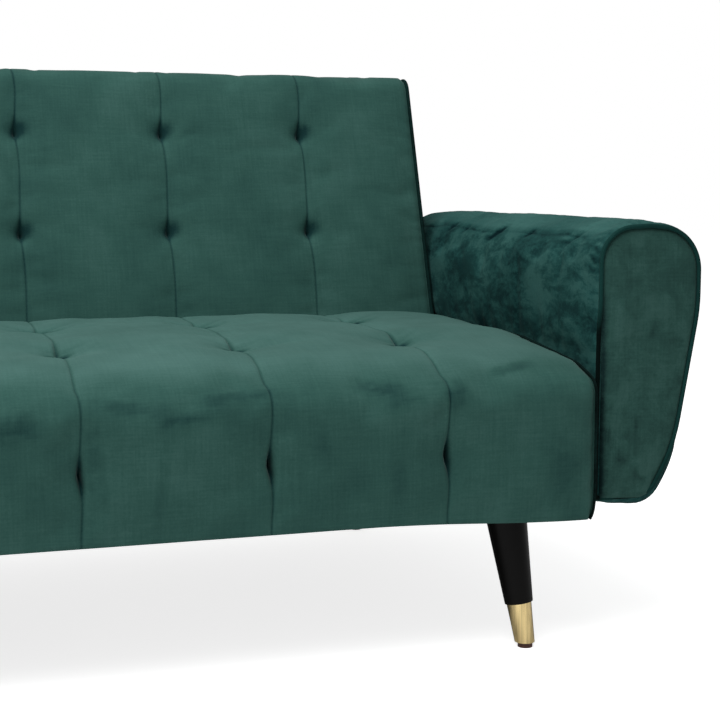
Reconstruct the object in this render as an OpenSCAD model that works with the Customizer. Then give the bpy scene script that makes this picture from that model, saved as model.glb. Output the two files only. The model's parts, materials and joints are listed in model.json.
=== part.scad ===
// Click-clack sofa bed: a sprung seat on splayed legs, a back that folds down flat on two
// ratchet hinges, and a pair of padded arms.
// Millimetres. X runs along the sofa, +Y to the rear, +Z up. The origin is on the floor, midway
// along the sofa and midway between its front and its rear. Inside the modules, Y counts from
// the seat's front face.

/* [Seat] */
// Length of the seat, and of the back
seat_l = 1800; // [1500:10:2160]
// Depth of the seat cushion
seat_d = 565; // [470:5:680]
// Height of the seat's top above the floor
seat_h = 400; // [345:5:480]
// Height of the seat by itself, from its frame's underside to its top
seat_box_h = 213; // [200:1:235]
// How far the seat's top falls towards its front edge
front_drop = 38; // [20:1:50]
// How far back from the front edge the fall begins
front_run = 240; // [150:5:290]

/* [Back] */
// Height at which the back's face would end if its top edge weren't rounded
back_h = 808; // [670:5:960]
// Thickness of the back
back_t = 130; // [120:1:156]
// Angle of the back from upright, in use as a sofa
recline = 18.5; // [12:0.5:24]
// Gap between the seat's rear face and the back's face, at the seat's height
back_gap = 25; // [24:1:40]
// How far the back reaches below the seat's top, along its face
back_sink = 65; // [55:1:70]
// Depth of the hinge axis behind the back's face
pivot_in = 55; // [50:1:60]

/* [Arms] */
// Width of an arm at its widest
arm_w = 153; // [125:1:185]
// Width of an arm's underside
arm_foot_w = 81; // [68:1:97]
// Height of an arm's top above the floor
arm_h = 567; // [473:1:680]
// Length of an arm, front to rear
arm_l = 763; // [640:1:915]
// Gap between the seat's end and the arm
arm_gap = 14; // [8:1:20]
// Setback of the arm's front behind the seat's front
arm_setback = 12; // [0:1:40]

/* [Padding] */
// Thickness of the velvet with its wadding
skin_t = 3; // [2:0.5:4]
// Diameter of the piping cord
welt_d = 6; // [5:0.5:8]
// Thickness of the pad in front of the front rail
front_pad_t = 27; // [20:1:40]
// Depth of the foam on the back's face
back_foam_t = 34; // [25:1:36]
// Foam over the back's top rail
back_top_pad = 18; // [12:1:30]
// Foam on the arms
arm_foam_t = 15; // [10:1:20]
// Thickness of the felt between springs and foam
felt_t = 4; // [3:1:6]

/* [Timber] */
// Thickness of the frame's boards
rail_t = 25; // [20:1:30]
// Height of the seat frame
frame_h = 104; // [95:1:125]
// Height of the low rails behind the seat
low_h = 65; // [55:1:70]
// How far the low rails run on behind the seat
rear_ext = 225; // [210:5:270]
// Width of the stretchers under the springs
stretcher_w = 60; // [50:1:80]
// Thickness of the panel that the arm's bolts hold
arm_panel_t = 15; // [12:1:18]
// Thickness of the arm's ribs
rib_t = 18; // [12:1:22]

/* [Legs] */
// Leg diameter at the top
leg_d = 56; // [46:1:60]
// Leg diameter just above the ferrule
leg_end_d = 38; // [36:1:46]
// Diameter of the ferrule's top
ferrule_d = 33.6; // [32:0.2:35]
// Diameter of the ferrule's bottom
ferrule_end_d = 26; // [24:0.5:30]
// Height of the ferrule's top above the floor
ferrule_h = 60; // [50:1:72]
// Sideways splay of each leg, from its top to its foot
splay = 22; // [20:1:44]
// Distance of a front foot behind the seat's front
foot_in_y = 40; // [30:1:60]
// Distance of a foot in from the seat's end
foot_in_x = 72; // [60:1:100]

/* [Hinges] */
// Thickness of the hinge plates
plate_t = 4; // [3:0.5:5]
// Radius of the ratchet disc
disc_r = 28; // [26:1:29]
// Diameter of the pivot rivet
rivet_d = 12; // [10:1:14]
// Forward travel that frees the ratchet
release = 12; // [8:1:12]
// Lounge position of the ratchet, back from upright
lounge = 30; // [25:1:40]
// Depth of a ratchet notch
notch_depth = 6; // [5:0.5:7]

/* [Springs] */
// Diameter of the spring wire
wire_d = 3.6; // [3:0.2:4]
// Width of a sinuous spring
spring_w = 62; // [50:1:70]
// Nominal spacing of a spring's bends
spring_pitch = 32; // [24:1:40]
// Number of springs in the seat
seat_springs_n = 8; // [5:1:10]
// Number of springs in the back
back_springs_n = 7; // [5:1:10]

/* [Hidden] */
$fn = 48;
arc_step = 9;
// Clearances: parts laid together, pins that turn, bolts in their holes.
fit_gap = 0.3;
run_gap = 0.05;
bolt_gap = 0.3;
over = 1;

// Seat frame
base_z = seat_h - seat_box_h;
end_x = seat_l / 2;
rail_x1 = end_x - skin_t - fit_gap;
rail_x0 = rail_x1 - rail_t;
front_y0 = skin_t + 2 * fit_gap + front_pad_t;
front_y1 = front_y0 + rail_t;
rear_y1 = seat_d - skin_t - fit_gap;
rear_y0 = rear_y1 - rail_t;
base_d = seat_d + rear_ext;
frame_z1 = base_z + frame_h;
low_z1 = base_z + low_h;
clip_h = 8;
clip_l = 16;
clip_w = 20;
bend_steps = 5;
felt_z0 = frame_z1 + clip_h + fit_gap;
foam_z0 = felt_z0 + felt_t;
stretcher_h = 25;
stretcher_x = seat_l / 4;
block_h = 58;
block_x = 130;
block_y = 80;
rear_block_y = 70;

// Legs
dust_t = 1.5;
plate_w = 60;
leg_plate_t = 2.5;
leg_plate_z0 = base_z - dust_t - leg_plate_t;
glide_h = 7;
// Length by which a splayed leg is made over long, to be cut off level under its plate
leg_head = 15;
glide_d = 20;
ferrule_wall = 1.5;
leg_tilt = acos(leg_plate_z0 / norm([splay, splay, leg_plate_z0]));
leg_s = 1 / cos(leg_tilt);
leg_bolt_d = 8;
leg_bolt_in = 32;
leg_bolt_out = 20;
leg_bolt_clear = 1;
rear_foot_y = base_d - rail_t - leg_bolt_clear - leg_bolt_d / 2 + splay;
centre_foot_y = seat_d * 0.55;
centre_leg_d = 42;
centre_leg_end_d = 30;

// Back: its own frame has Y behind its face and Z up the face from its bottom edge
face_y = seat_d + back_gap;
back_l = (back_h - seat_h) / cos(recline) + back_sink;
pivot_y = face_y + pivot_in * (1 - sin(recline)) / cos(recline);
pivot_z = seat_h - pivot_in;
pivot_up = back_sink + (pivot_y - face_y) * sin(recline) - pivot_in * cos(recline);
back_felt_y0 = skin_t + fit_gap + back_foam_t + fit_gap;
back_clip_y0 = back_felt_y0 + felt_t + fit_gap;
board_y0 = back_clip_y0 + clip_h;
board_y1 = back_t - skin_t - 3;
board_z0 = 12;
board_z1 = back_l - back_top_pad - skin_t - fit_gap;
rear_panel_t = 3;
panel_in = 14;
flat_angle = 90 - recline;

// Hinges, on the inner faces of the side rails and the back's posts
plate_x1 = rail_x0;
moving_x0 = plate_x1 - plate_t;
fixed_x1 = moving_x0 - fit_gap;
fixed_x0 = fixed_x1 - plate_t;
notch_x0 = fixed_x0 - 25;
notch_y0 = 22;
notch_z1 = pivot_up + 70;
foam_notch_z1 = pivot_up + 36;
head_r = 20;
rivet_head_r = 11;
rivet_head_t = 4;
joggle_z = low_z1 + 6;
tongue_w = 30;
tongue_l = 145;
pawl_arm = 36;
pawl_drop = 4;
pawl_boss_r = 8;
pawl_pin_d = 8;
pawl_air = 0.4;
tooth_w = 6;
notch_w = tooth_w + 3;
pawl_t = plate_t - fit_gap;
hinge_bolt_d = 6;
hinge_bolt_head_d = 11;

// Arms
arm_x0 = end_x + arm_gap;
arm_z0 = base_z + 10;
arm_y0 = arm_setback;
arm_y1 = arm_setback + arm_l;
arm_panel_x0 = arm_x0 + skin_t + arm_foam_t + 2 * fit_gap;
arm_panel_x1 = arm_panel_x0 + arm_panel_t;
arm_shell_t = 3;
arm_end_t = 12;
arm_bolt_d = 8;
arm_bolt_head_d = 16;
arm_bolt_head_t = 5;
spacer_d = 40;
nut_flange_d = 24;
nut_flange_t = 2;
nut_barrel_d = 11;
// Rows of [y, z] for the bolts that hold an arm
arm_bolts_at = [
    [front_y1 + block_y + 35, base_z + 50],
    [(front_y1 + rear_y0) / 2 + 85, base_z + 50],
    [seat_d + 18, base_z + 50]
];

origin_y = (face_y + (back_l - back_sink) * sin(recline) + back_t * cos(recline)) / 2;

// ---- Outlines --------------------------------------------------------------------------

function unit(v) = v / norm(v);
function left_of(v) = [-v[1], v[0]];

// The corner q of an anticlockwise outline, with both its edges drawn in by inset
function inset_corner(p, q, s, inset) =
    let (a = left_of(unit(q - p)), b = left_of(unit(s - q)))
    q + inset * (a + b) / (1 + a * b);

// The round of radius r at the corner q
function corner_arc(p, q, s, r) =
    let (
        d1 = unit(q - p),
        d2 = unit(s - q),
        turn = atan2(d1[0] * d2[1] - d1[1] * d2[0], d1 * d2),
        steps = max(1, ceil(turn / arc_step)),
        centre = q - d1 * r * tan(turn / 2) + left_of(d1) * r,
        start = atan2(-d1[0], d1[1])
    )
    [for (i = [0:steps]) centre + r * [cos(start + turn * i / steps), sin(start + turn * i / steps)]];

// A convex outline from its corners and their radii, drawn in by inset all round
function outline(corners, radii, inset) =
    let (
        n = len(corners),
        c = [for (i = [0:n - 1])
            inset_corner(corners[(i + n - 1) % n], corners[i], corners[(i + 1) % n], inset)]
    )
    [for (i = [0:n - 1])
        each corner_arc(c[(i + n - 1) % n], c[i], c[(i + 1) % n], max(radii[i] - inset, 1))];

function seat_outline(inset) = outline(
    [[0, base_z], [seat_d, base_z], [seat_d, seat_h], [front_run, seat_h],
     [front_run / 4, seat_h - front_drop / 2], [0, seat_h - front_drop]],
    [4, 4, 22, 300, 80, 25], inset);

function back_outline(inset) = outline(
    [[0, 0], [back_t, 0], [back_t, back_l], [0, back_l]], [18, 12, 22, 28], inset);

// The arm's section in X and Z: upright inside, leaning out and bellied outside
function arm_outline(inset) = outline(
    [[arm_x0, arm_z0], [arm_x0 + arm_foot_w, arm_z0],
     [arm_x0 + arm_foot_w + (arm_w - arm_foot_w) * 0.53, arm_z0 + (arm_h - arm_z0) * 0.175],
     [arm_x0 + arm_w, arm_z0 + (arm_h - arm_z0) * 0.69], [arm_x0 + arm_w, arm_h - 7],
     [arm_x0 + arm_w / 2, arm_h], [arm_x0 + 2, arm_h - 4]],
    [10, 14, 260, 250, 48, 110, 50], inset);

// ---- Placing ---------------------------------------------------------------------------

module at_origin() {
    translate([0, -origin_y, 0]) children();
}

module on_side(side) {
    mirror([side < 0 ? 1 : 0, 0, 0]) children();
}

module both_sides() {
    for (side = [-1, 1]) on_side(side) children();
}

// Extrudes a drawing in Y and Z along X
module along_x(x0, x1) {
    translate([x0, 0, 0]) rotate([90, 0, 90]) linear_extrude(x1 - x0) children();
}

// Extrudes a drawing in X and Z along Y
module along_y(y0, y1) {
    translate([0, y1, 0]) rotate([90, 0, 0]) linear_extrude(y1 - y0) children();
}

// A box from its two corners
module slab(a, b) {
    translate(a) cube(b - a);
}

// A straight rod along X
module rod_x(x0, x1, y, z, d) {
    translate([x0, y, z]) rotate([0, 90, 0]) cylinder(d = d, h = x1 - x0);
}

// The back's own frame
module in_back() {
    translate([0, face_y - back_sink * sin(recline), seat_h - back_sink * cos(recline)])
        rotate([-recline, 0, 0]) children();
}

// ---- Seat frame ------------------------------------------------------------------------

module arm_bolt_holes() {
    for (p = arm_bolts_at)
        rod_x(rail_x0 - over, arm_panel_x1 + over, p[0], p[1], arm_bolt_d + 2 * bolt_gap);
}

module hinge_base_bolt_holes() {
    for (p = hinge_base_bolts_at)
        rod_x(fixed_x0, rail_x1 - 5, p[0], p[1], hinge_bolt_d + 2 * bolt_gap);
}
hinge_base_bolts_at = [[pivot_y - 10, base_z + 26], [pivot_y + 38, base_z + 46]];

module side_rail() {
    color("burlywood") at_origin() difference() {
        along_x(rail_x0, rail_x1) polygon([
            [front_y0, base_z], [base_d, base_z], [base_d, low_z1],
            [rear_y1, low_z1], [rear_y1, frame_z1], [front_y0, frame_z1]
        ]);
        arm_bolt_holes();
        hinge_base_bolt_holes();
    }
}

module cross_board(y0, y1, z1) {
    slab([-rail_x0, y0, base_z], [rail_x0, y1, z1]);
}

module front_rail() {
    color("burlywood") at_origin() cross_board(front_y0, front_y1, frame_z1);
}

module seat_rear_rail() {
    color("burlywood") at_origin() cross_board(rear_y0, rear_y1, frame_z1);
}

module rear_rail() {
    color("burlywood") at_origin() cross_board(base_d - rail_t, base_d, low_z1);
}

module stretchers() {
    color("burlywood") at_origin() difference() {
        for (x = [-stretcher_x, 0, stretcher_x]) {
            slab([x - stretcher_w / 2, front_y1, base_z], [x + stretcher_w / 2, rear_y0, base_z + stretcher_h]);
            slab([x - stretcher_w / 2, rear_y1, base_z],
                 [x + stretcher_w / 2, base_d - rail_t, base_z + stretcher_h]);
        }
        centre_bolt_hole();
    }
}

module corner_block(x1, y0, y1, chamfer_y) {
    chamfer = 30;
    translate([0, 0, base_z]) linear_extrude(block_h) polygon([
        [x1, y0], [x1, y1], [x1 - block_x + (chamfer_y > 0 ? chamfer : 0), y1],
        [x1 - block_x, y1 - (chamfer_y > 0 ? chamfer : 0)],
        [x1 - block_x, y0 + (chamfer_y < 0 ? chamfer : 0)],
        [x1 - block_x + (chamfer_y < 0 ? chamfer : 0), y0]
    ]);
}

module corner_blocks() {
    color("tan") at_origin() difference() {
        both_sides() {
            corner_block(rail_x0, front_y1, front_y1 + block_y, 1);
            corner_block(rail_x0, base_d - rail_t - rear_block_y, base_d - rail_t, -1);
        }
        leg_bolt_holes();
    }
}

// ---- Springs ---------------------------------------------------------------------------

// A flat zigzag spring in XY, its runs along X, from y = 0 to y = length, as one outline:
// up one edge of the wire and back down the other
function bends(length) = round(length / spring_pitch);

function zigzag_edge(length, side) =
    let (n = bends(length), pitch = length / n, run = spring_w - pitch)
    [for (i = [0:n - 1])
        let (s = i % 2 == 0 ? 1 : -1, r = pitch / 2 - s * side * wire_d / 2)
        for (k = [0:bend_steps])
            let (a = -90 + 180 * k / bend_steps)
            [s * (run / 2 + r * cos(a)), (i + 0.5) * pitch + r * sin(a)]];

module sinuous(length) {
    n = bends(length);
    run = spring_w - length / n;
    way = n % 2 == 0 ? 1 : -1;
    left_edge = zigzag_edge(length, 1);
    right_edge = zigzag_edge(length, -1);
    half = wire_d / 2;
    translate([0, 0, -half]) linear_extrude(wire_d) polygon(concat(
        [[-run / 2, half]], left_edge, [[way * run / 2, length + way * half]],
        [[way * run / 2, length - way * half]],
        [for (i = [len(right_edge) - 1:-1:0]) right_edge[i]], [[-run / 2, -half]]
    ));
}

// A folded clip on a rail, which holds a spring's last run
module spring_clip() {
    difference() {
        translate([-clip_w / 2, -clip_l / 2, 0]) cube([clip_w, clip_l, clip_h]);
        translate([0, 0, clip_h / 2])
            cube([clip_w + 2 * over, wire_d + 2 * run_gap, wire_d + 2 * run_gap], center = true);
    }
}

function spread(n, width) = [for (i = [0:n - 1]) width * ((i + 0.5) / n - 0.5)];

seat_clip_y = [front_y0 + rail_t / 2, rear_y0 + rail_t / 2];
back_clip_z = [board_z0 + rail_t / 2, board_z1 - rail_t / 2];

module seat_springs() {
    color("dimgray") at_origin() for (x = spread(seat_springs_n, 2 * rail_x0))
        translate([x, seat_clip_y[0], frame_z1 + clip_h / 2]) sinuous(seat_clip_y[1] - seat_clip_y[0]);
}

module seat_spring_clips() {
    color("lightsteelblue") at_origin() for (x = spread(seat_springs_n, 2 * rail_x0), y = seat_clip_y)
        translate([x, y, frame_z1]) spring_clip();
}

module back_springs() {
    color("dimgray") at_origin() in_back() for (x = spread(back_springs_n, 2 * notch_x0))
        translate([x, board_y0 - clip_h / 2, back_clip_z[0]]) rotate([90, 0, 0])
            sinuous(back_clip_z[1] - back_clip_z[0]);
}

module back_spring_clips() {
    color("lightsteelblue") at_origin() in_back()
        for (x = spread(back_springs_n, 2 * notch_x0), z = back_clip_z)
            translate([x, board_y0, z]) rotate([90, 0, 0]) spring_clip();
}

// ---- Seat padding ----------------------------------------------------------------------

module seat_felt() {
    color("darkgray") at_origin()
        slab([-rail_x0, front_y0, felt_z0], [rail_x0, rear_y1, foam_z0]);
}

module front_pad() {
    color("khaki") at_origin() intersection() {
        along_x(-end_x + welt_d + fit_gap, end_x - welt_d - fit_gap)
            polygon(seat_outline(skin_t + fit_gap));
        slab([-end_x, 0, base_z], [end_x, skin_t + fit_gap + front_pad_t, foam_z0]);
    }
}

module seat_foam() {
    color("khaki") at_origin() intersection() {
        along_x(-end_x + welt_d + fit_gap, end_x - welt_d - fit_gap)
            polygon(seat_outline(skin_t + fit_gap));
        slab([-end_x, 0, foam_z0], [end_x, seat_d, seat_h]);
    }
}

// Piping round the seat's end: up the front edge and over the top
module seat_welt() {
    intersection() {
        along_x(end_x - welt_d, end_x) difference() {
            polygon(seat_outline(0));
            polygon(seat_outline(welt_d));
        }
        union() {
            slab([0, 0, base_z], [end_x, welt_d, seat_h]);
            slab([0, 0, foam_z0 + welt_d], [end_x, seat_d, seat_h]);
        }
    }
}

module seat_welts() {
    color("darkslategray") at_origin() both_sides() seat_welt();
}

module seat_cover() {
    color("seagreen") at_origin() difference() {
        along_x(-end_x, end_x) polygon(seat_outline(0));
        along_x(-end_x + skin_t, end_x - skin_t) polygon(seat_outline(skin_t));
        slab([-end_x + skin_t, skin_t, base_z - over], [end_x - skin_t, seat_d + over, base_z + skin_t + over]);
        slab([-end_x + skin_t, rear_y0, base_z - over], [end_x - skin_t, seat_d + over, low_z1 + 2]);
        both_sides() {
            seat_welt();
            slab([end_x - skin_t - over, rear_y1 + fit_gap, base_z - over],
                 [end_x + over, seat_d + over, low_z1 + 2]);
            arm_bolt_holes();
        }
    }
}

module dust_cover() {
    color("black") at_origin() difference() {
        slab([-rail_x1, skin_t, base_z - dust_t], [rail_x1, base_d, base_z]);
        leg_bolt_holes();
        centre_bolt_hole();
    }
}

// ---- Legs ------------------------------------------------------------------------------

// Which way each leg's foot goes: [x, y]
leg_signs = [[-1, -1], [1, -1], [-1, 1], [1, 1]];

function foot_at(s) = [s[0] * (end_x - foot_in_x), s[1] < 0 ? foot_in_y : rear_foot_y, 0];

// The leg's own axis as +Z, from the middle of its foot
module leg_axis(s) {
    translate(foot_at(s)) rotate([0, leg_tilt, atan2(-s[1], -s[0])]) children();
}

module leg_bolt_holes() {
    for (s = leg_signs) leg_axis(s) translate([0, 0, leg_plate_z0 * leg_s - 5])
        cylinder(d = leg_bolt_d + 2 * bolt_gap, h = leg_bolt_out + 10);
}

module centre_bolt_hole() {
    translate([0, centre_foot_y, leg_plate_z0 - over])
        cylinder(d = leg_bolt_d + 2 * bolt_gap, h = leg_bolt_out + 4);
}

module leg(s) {
    bottom_s = (glide_h + 6) * leg_s;
    ferrule_s = ferrule_h * leg_s;
    top_s = leg_plate_z0 * leg_s;
    core = 2 * (ferrule_wall + fit_gap);
    color([0.09, 0.09, 0.1]) at_origin() difference() {
        leg_axis(s) difference() {
            union() {
                translate([0, 0, ferrule_s]) cylinder(
                    d1 = leg_end_d,
                    d2 = leg_d + (leg_d - leg_end_d) * leg_head / (top_s - ferrule_s),
                    h = top_s - ferrule_s + leg_head);
                translate([0, 0, bottom_s])
                    cylinder(d1 = ferrule_end_d - core, d2 = ferrule_d - core,
                             h = ferrule_s - bottom_s + over);
            }
            translate([0, 0, top_s - leg_bolt_in - over])
                cylinder(d = leg_bolt_d + 2 * bolt_gap, h = leg_bolt_in + 20);
        }
        translate([-seat_l, -seat_d, leg_plate_z0]) cube([2 * seat_l, 4 * seat_d, 100]);
    }
}

module ferrules() {
    ferrule_s = ferrule_h * leg_s - fit_gap;
    bottom_s = (glide_h + 6) * leg_s - fit_gap;
    color("gold") at_origin() difference() {
        for (s = leg_signs) leg_axis(s) difference() {
            cylinder(d1 = ferrule_end_d, d2 = ferrule_d, h = ferrule_s);
            translate([0, 0, bottom_s])
                cylinder(d1 = ferrule_end_d - 2 * ferrule_wall, d2 = ferrule_d - 2 * ferrule_wall,
                         h = ferrule_s - bottom_s + fit_gap);
        }
        translate([-seat_l, -seat_d, -50]) cube([2 * seat_l, 4 * seat_d, 50 + glide_h]);
    }
}

module glides() {
    color("saddlebrown") at_origin() {
        for (s = leg_signs) translate(foot_at(s) + [-s[0], -s[1], 0] * splay * glide_h / 2 / leg_plate_z0)
            cylinder(d = glide_d, h = glide_h);
        translate([0, centre_foot_y, 0]) cylinder(d = centre_leg_end_d - 4, h = glide_h);
    }
}

module centre_leg() {
    color([0.09, 0.09, 0.1]) at_origin() translate([0, centre_foot_y, 0]) difference() {
        translate([0, 0, glide_h])
            cylinder(d1 = centre_leg_end_d, d2 = centre_leg_d, h = leg_plate_z0 - glide_h);
        translate([0, 0, leg_plate_z0 - leg_bolt_in - over])
            cylinder(d = leg_bolt_d + 2 * bolt_gap, h = leg_bolt_in + 2 * over);
    }
}

module leg_plate() {
    translate([-plate_w / 2, -plate_w / 2, leg_plate_z0]) cube([plate_w, plate_w, leg_plate_t]);
}

module leg_plates() {
    color("silver") at_origin() difference() {
        union() {
            for (s = leg_signs) translate(foot_at(s) - [s[0], s[1], 0] * splay) leg_plate();
            translate([0, centre_foot_y, 0]) leg_plate();
        }
        leg_bolt_holes();
        centre_bolt_hole();
    }
}

module leg_bolts() {
    color("gainsboro") at_origin() {
        for (s = leg_signs) leg_axis(s) translate([0, 0, leg_plate_z0 * leg_s - leg_bolt_in])
            cylinder(d = leg_bolt_d, h = leg_bolt_in + leg_bolt_out);
        translate([0, centre_foot_y, leg_plate_z0 - leg_bolt_in])
            cylinder(d = leg_bolt_d, h = leg_bolt_in + leg_bolt_out);
    }
}

// ---- Back ------------------------------------------------------------------------------

hinge_back_bolts_at = [for (i = [0:2]) [pivot_in + 10, pivot_up + 50 + 40 * i]];

module back_post() {
    color("burlywood") at_origin() in_back() difference() {
        slab([rail_x0, board_y0, board_z0], [rail_x1, board_y1, board_z1]);
        rod_x(rail_x0 - over, rail_x0 + rivet_head_t + 2, pivot_in, pivot_up, 2 * rivet_head_r + 2);
        for (p = hinge_back_bolts_at)
            rod_x(rail_x0 - over, rail_x1 - 5, p[0], p[1], hinge_bolt_d + 2 * bolt_gap);
    }
}

module back_top_rail() {
    color("burlywood") at_origin() in_back()
        slab([-rail_x0, board_y0, board_z1 - rail_t], [rail_x0, board_y1, board_z1]);
}

module back_bottom_rail() {
    color("burlywood") at_origin() in_back()
        slab([-notch_x0, board_y0, board_z0], [notch_x0, board_y1, board_z0 + rail_t]);
}

module back_stiles() {
    color("burlywood") at_origin() in_back() for (x = [-stretcher_x, 0, stretcher_x])
        slab([x - rail_t / 2, board_y0, board_z0 + rail_t],
             [x + rail_t / 2, board_y1, board_z1 - rail_t]);
}

module back_felt() {
    color("darkgray") at_origin() in_back()
        slab([-notch_x0, back_felt_y0, board_z0], [notch_x0, back_felt_y0 + felt_t, board_z1]);
}

// The room round a hinge, open at the back's lower rear edge
module hinge_room(z1) {
    slab([notch_x0, notch_y0, -over], [rail_x0, back_t + over, z1]);
}

module back_foam() {
    color("khaki") at_origin() in_back() difference() {
        along_x(-end_x + welt_d + fit_gap, end_x - welt_d - fit_gap)
            polygon(back_outline(skin_t + fit_gap));
        slab([-end_x, back_felt_y0 - fit_gap, -over], [end_x, back_t, board_z1 + fit_gap]);
        slab([-end_x, board_y1, -over], [end_x, back_t, back_l]);
        both_sides() hinge_room(foam_notch_z1);
    }
}

module back_welt() {
    along_x(end_x - welt_d, end_x) difference() {
        polygon(back_outline(0));
        polygon(back_outline(welt_d));
    }
}

module back_welts() {
    color("darkslategray") at_origin() in_back() both_sides() back_welt();
}

module back_cover() {
    color("seagreen") at_origin() in_back() difference() {
        along_x(-end_x, end_x) polygon(back_outline(0));
        along_x(-end_x + skin_t, end_x - skin_t) polygon(back_outline(skin_t));
        slab([-end_x + panel_in, back_t - skin_t - over, panel_in],
             [end_x - panel_in, back_t + over, back_l - panel_in - 10]);
        both_sides() {
            back_welt();
            hinge_room(notch_z1);
        }
    }
}

module back_rear_panel() {
    color("darkslategray") at_origin() in_back() difference() {
        slab([-end_x + panel_in + fit_gap, back_t - rear_panel_t, panel_in + fit_gap],
             [end_x - panel_in - fit_gap, back_t, back_l - panel_in - 10 - fit_gap]);
        both_sides() hinge_room(notch_z1);
    }
}

// ---- Hinges ----------------------------------------------------------------------------

// The fixed plate: screwed to the side rail, stepped inwards, with the pivot at its head
module hinge_base_plate() {
    low_y = [pivot_y - 26, pivot_y + 54];
    color("slategray") at_origin() difference() {
        union() {
            along_x(fixed_x0, fixed_x1) {
                translate([pivot_y, pivot_z]) circle(r = head_r);
                polygon([
                    [low_y[0], joggle_z], [low_y[1], joggle_z], [low_y[1], pivot_z - 42],
                    [pivot_y + 14, pivot_z + 12], [pivot_y - 14, pivot_z + 12],
                    [low_y[0], pivot_z - 40]
                ]);
            }
            slab([fixed_x0, low_y[0], joggle_z], [plate_x1, low_y[1], joggle_z + plate_t]);
            slab([moving_x0, low_y[0], base_z + 8], [plate_x1, low_y[1], joggle_z + plate_t]);
        }
        rod_x(fixed_x0 - over, plate_x1, pivot_y, pivot_z, rivet_d + 2 * run_gap);
        rod_x(fixed_x0 - over, plate_x1, pivot_y + pawl_arm, pivot_z - disc_r - pawl_drop,
              pawl_pin_d + 2 * run_gap);
        hinge_base_bolt_holes();
    }
}

// The ratchet positions, as angles round the disc from straight down
ratchet_at = [-release, 0, lounge, flat_angle];

// The moving plate: a notched disc on the pivot and a tongue up the back's post
module hinge_back_plate() {
    color("lightslategray") at_origin() difference() {
        along_x(moving_x0, plate_x1) difference() {
            union() {
                translate([pivot_y, pivot_z]) circle(r = disc_r);
                translate([pivot_y, pivot_z]) rotate(-recline) difference() {
                    translate([-tongue_w / 2, 0]) square([tongue_w, tongue_l]);
                    for (s = [-1, 1]) translate([s * tongue_w / 2, tongue_l]) rotate(45)
                        square(14, center = true);
                }
            }
            translate([pivot_y, pivot_z]) for (a = ratchet_at) rotate(a)
                polygon([
                    [-notch_w / 2 - 1, -disc_r - over], [notch_w / 2 + 1, -disc_r - over],
                    [notch_w / 2, -disc_r + notch_depth], [-notch_w / 2, -disc_r + notch_depth]
                ]);
        }
        rod_x(moving_x0 - over, plate_x1 + over, pivot_y, pivot_z, rivet_d + 2 * run_gap);
        in_back() for (p = hinge_back_bolts_at)
            rod_x(moving_x0 - over, plate_x1 + over, p[0], p[1], hinge_bolt_d + 2 * bolt_gap);
    }
}

module hinge_rivets() {
    color("gainsboro") at_origin() both_sides() {
        rod_x(fixed_x0 - fit_gap, plate_x1 + fit_gap, pivot_y, pivot_z, rivet_d);
        rod_x(fixed_x0 - fit_gap - rivet_head_t, fixed_x0 - fit_gap, pivot_y, pivot_z, 2 * rivet_head_r);
        rod_x(plate_x1 + fit_gap, plate_x1 + fit_gap + rivet_head_t, pivot_y, pivot_z, 2 * rivet_head_r);
    }
}

// The pawl lies under the disc, its tooth just clear of the rim
module pawl() {
    tip_z = pivot_z - disc_r - pawl_air;
    pin = [pivot_y + pawl_arm, pivot_z - disc_r - pawl_drop];
    color("goldenrod") at_origin() difference() {
        along_x(moving_x0, moving_x0 + pawl_t) {
            translate(pin) circle(r = pawl_boss_r);
            polygon([
                [pivot_y - tooth_w / 2, tip_z], [pivot_y - tooth_w / 2 - 5, tip_z - 14],
                [pin[0], pin[1] - pawl_boss_r + 1], [pin[0], pin[1] + pawl_boss_r - 1],
                [pivot_y + tooth_w / 2 + 2, tip_z - 7], [pivot_y + tooth_w / 2, tip_z]
            ]);
        }
        rod_x(moving_x0 - over, plate_x1, pin[0], pin[1], pawl_pin_d + 2 * run_gap);
    }
}

pawl_spring_coils = 4;
pawl_spring_wire = 1.6;
pawl_pin_x0 = fixed_x0 - pawl_spring_coils * pawl_spring_wire - 2 * fit_gap;

module pawl_pins() {
    y = pivot_y + pawl_arm;
    z = pivot_z - disc_r - pawl_drop;
    color("gainsboro") at_origin() both_sides() {
        rod_x(pawl_pin_x0, moving_x0 + pawl_t, y, z, pawl_pin_d);
        rod_x(pawl_pin_x0 - 2, pawl_pin_x0, y, z, pawl_pin_d + 7);
    }
}

// A torsion spring, close-wound on the pawl's pin, with its straight end on the fixed plate
module pawl_springs() {
    y = pivot_y + pawl_arm;
    z = pivot_z - disc_r - pawl_drop;
    wire_r = pawl_spring_wire / 2;
    coil_r = pawl_pin_d / 2 + run_gap + fit_gap + wire_r;
    x0 = fixed_x0 - fit_gap - 2 * wire_r * pawl_spring_coils;
    color("silver") at_origin() both_sides() {
        translate([x0, y, z]) rotate([0, 90, 0]) rotate_extrude() polygon(concat(
            [[coil_r - wire_r, 0]],
            [for (i = [0:pawl_spring_coils - 1], a = [-60, -20, 20, 60])
                [coil_r + wire_r * cos(a), wire_r * (2 * i + 1 + sin(a))]],
            [[coil_r - wire_r, 2 * wire_r * pawl_spring_coils]]
        ));
        slab([x0 + wire_r / 2, y + coil_r - wire_r / 2, z - 22], [x0 + 2 * wire_r, y + coil_r + wire_r / 2, z]);
    }
}

module hinge_bolt(x1, y, z) {
    rod_x(moving_x0 - fit_gap, x1, y, z, hinge_bolt_d);
    rod_x(moving_x0 - fit_gap - 3.5, moving_x0 - fit_gap, y, z, hinge_bolt_head_d);
}

module hinge_base_bolts() {
    color("gainsboro") at_origin() both_sides()
        for (p = hinge_base_bolts_at) hinge_bolt(rail_x1 - 6, p[0], p[1]);
}

module hinge_back_bolts() {
    color("gainsboro") at_origin() in_back() both_sides()
        for (p = hinge_back_bolts_at) hinge_bolt(rail_x1 - 6, p[0], p[1]);
}

// ---- Arms ------------------------------------------------------------------------------

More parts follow.
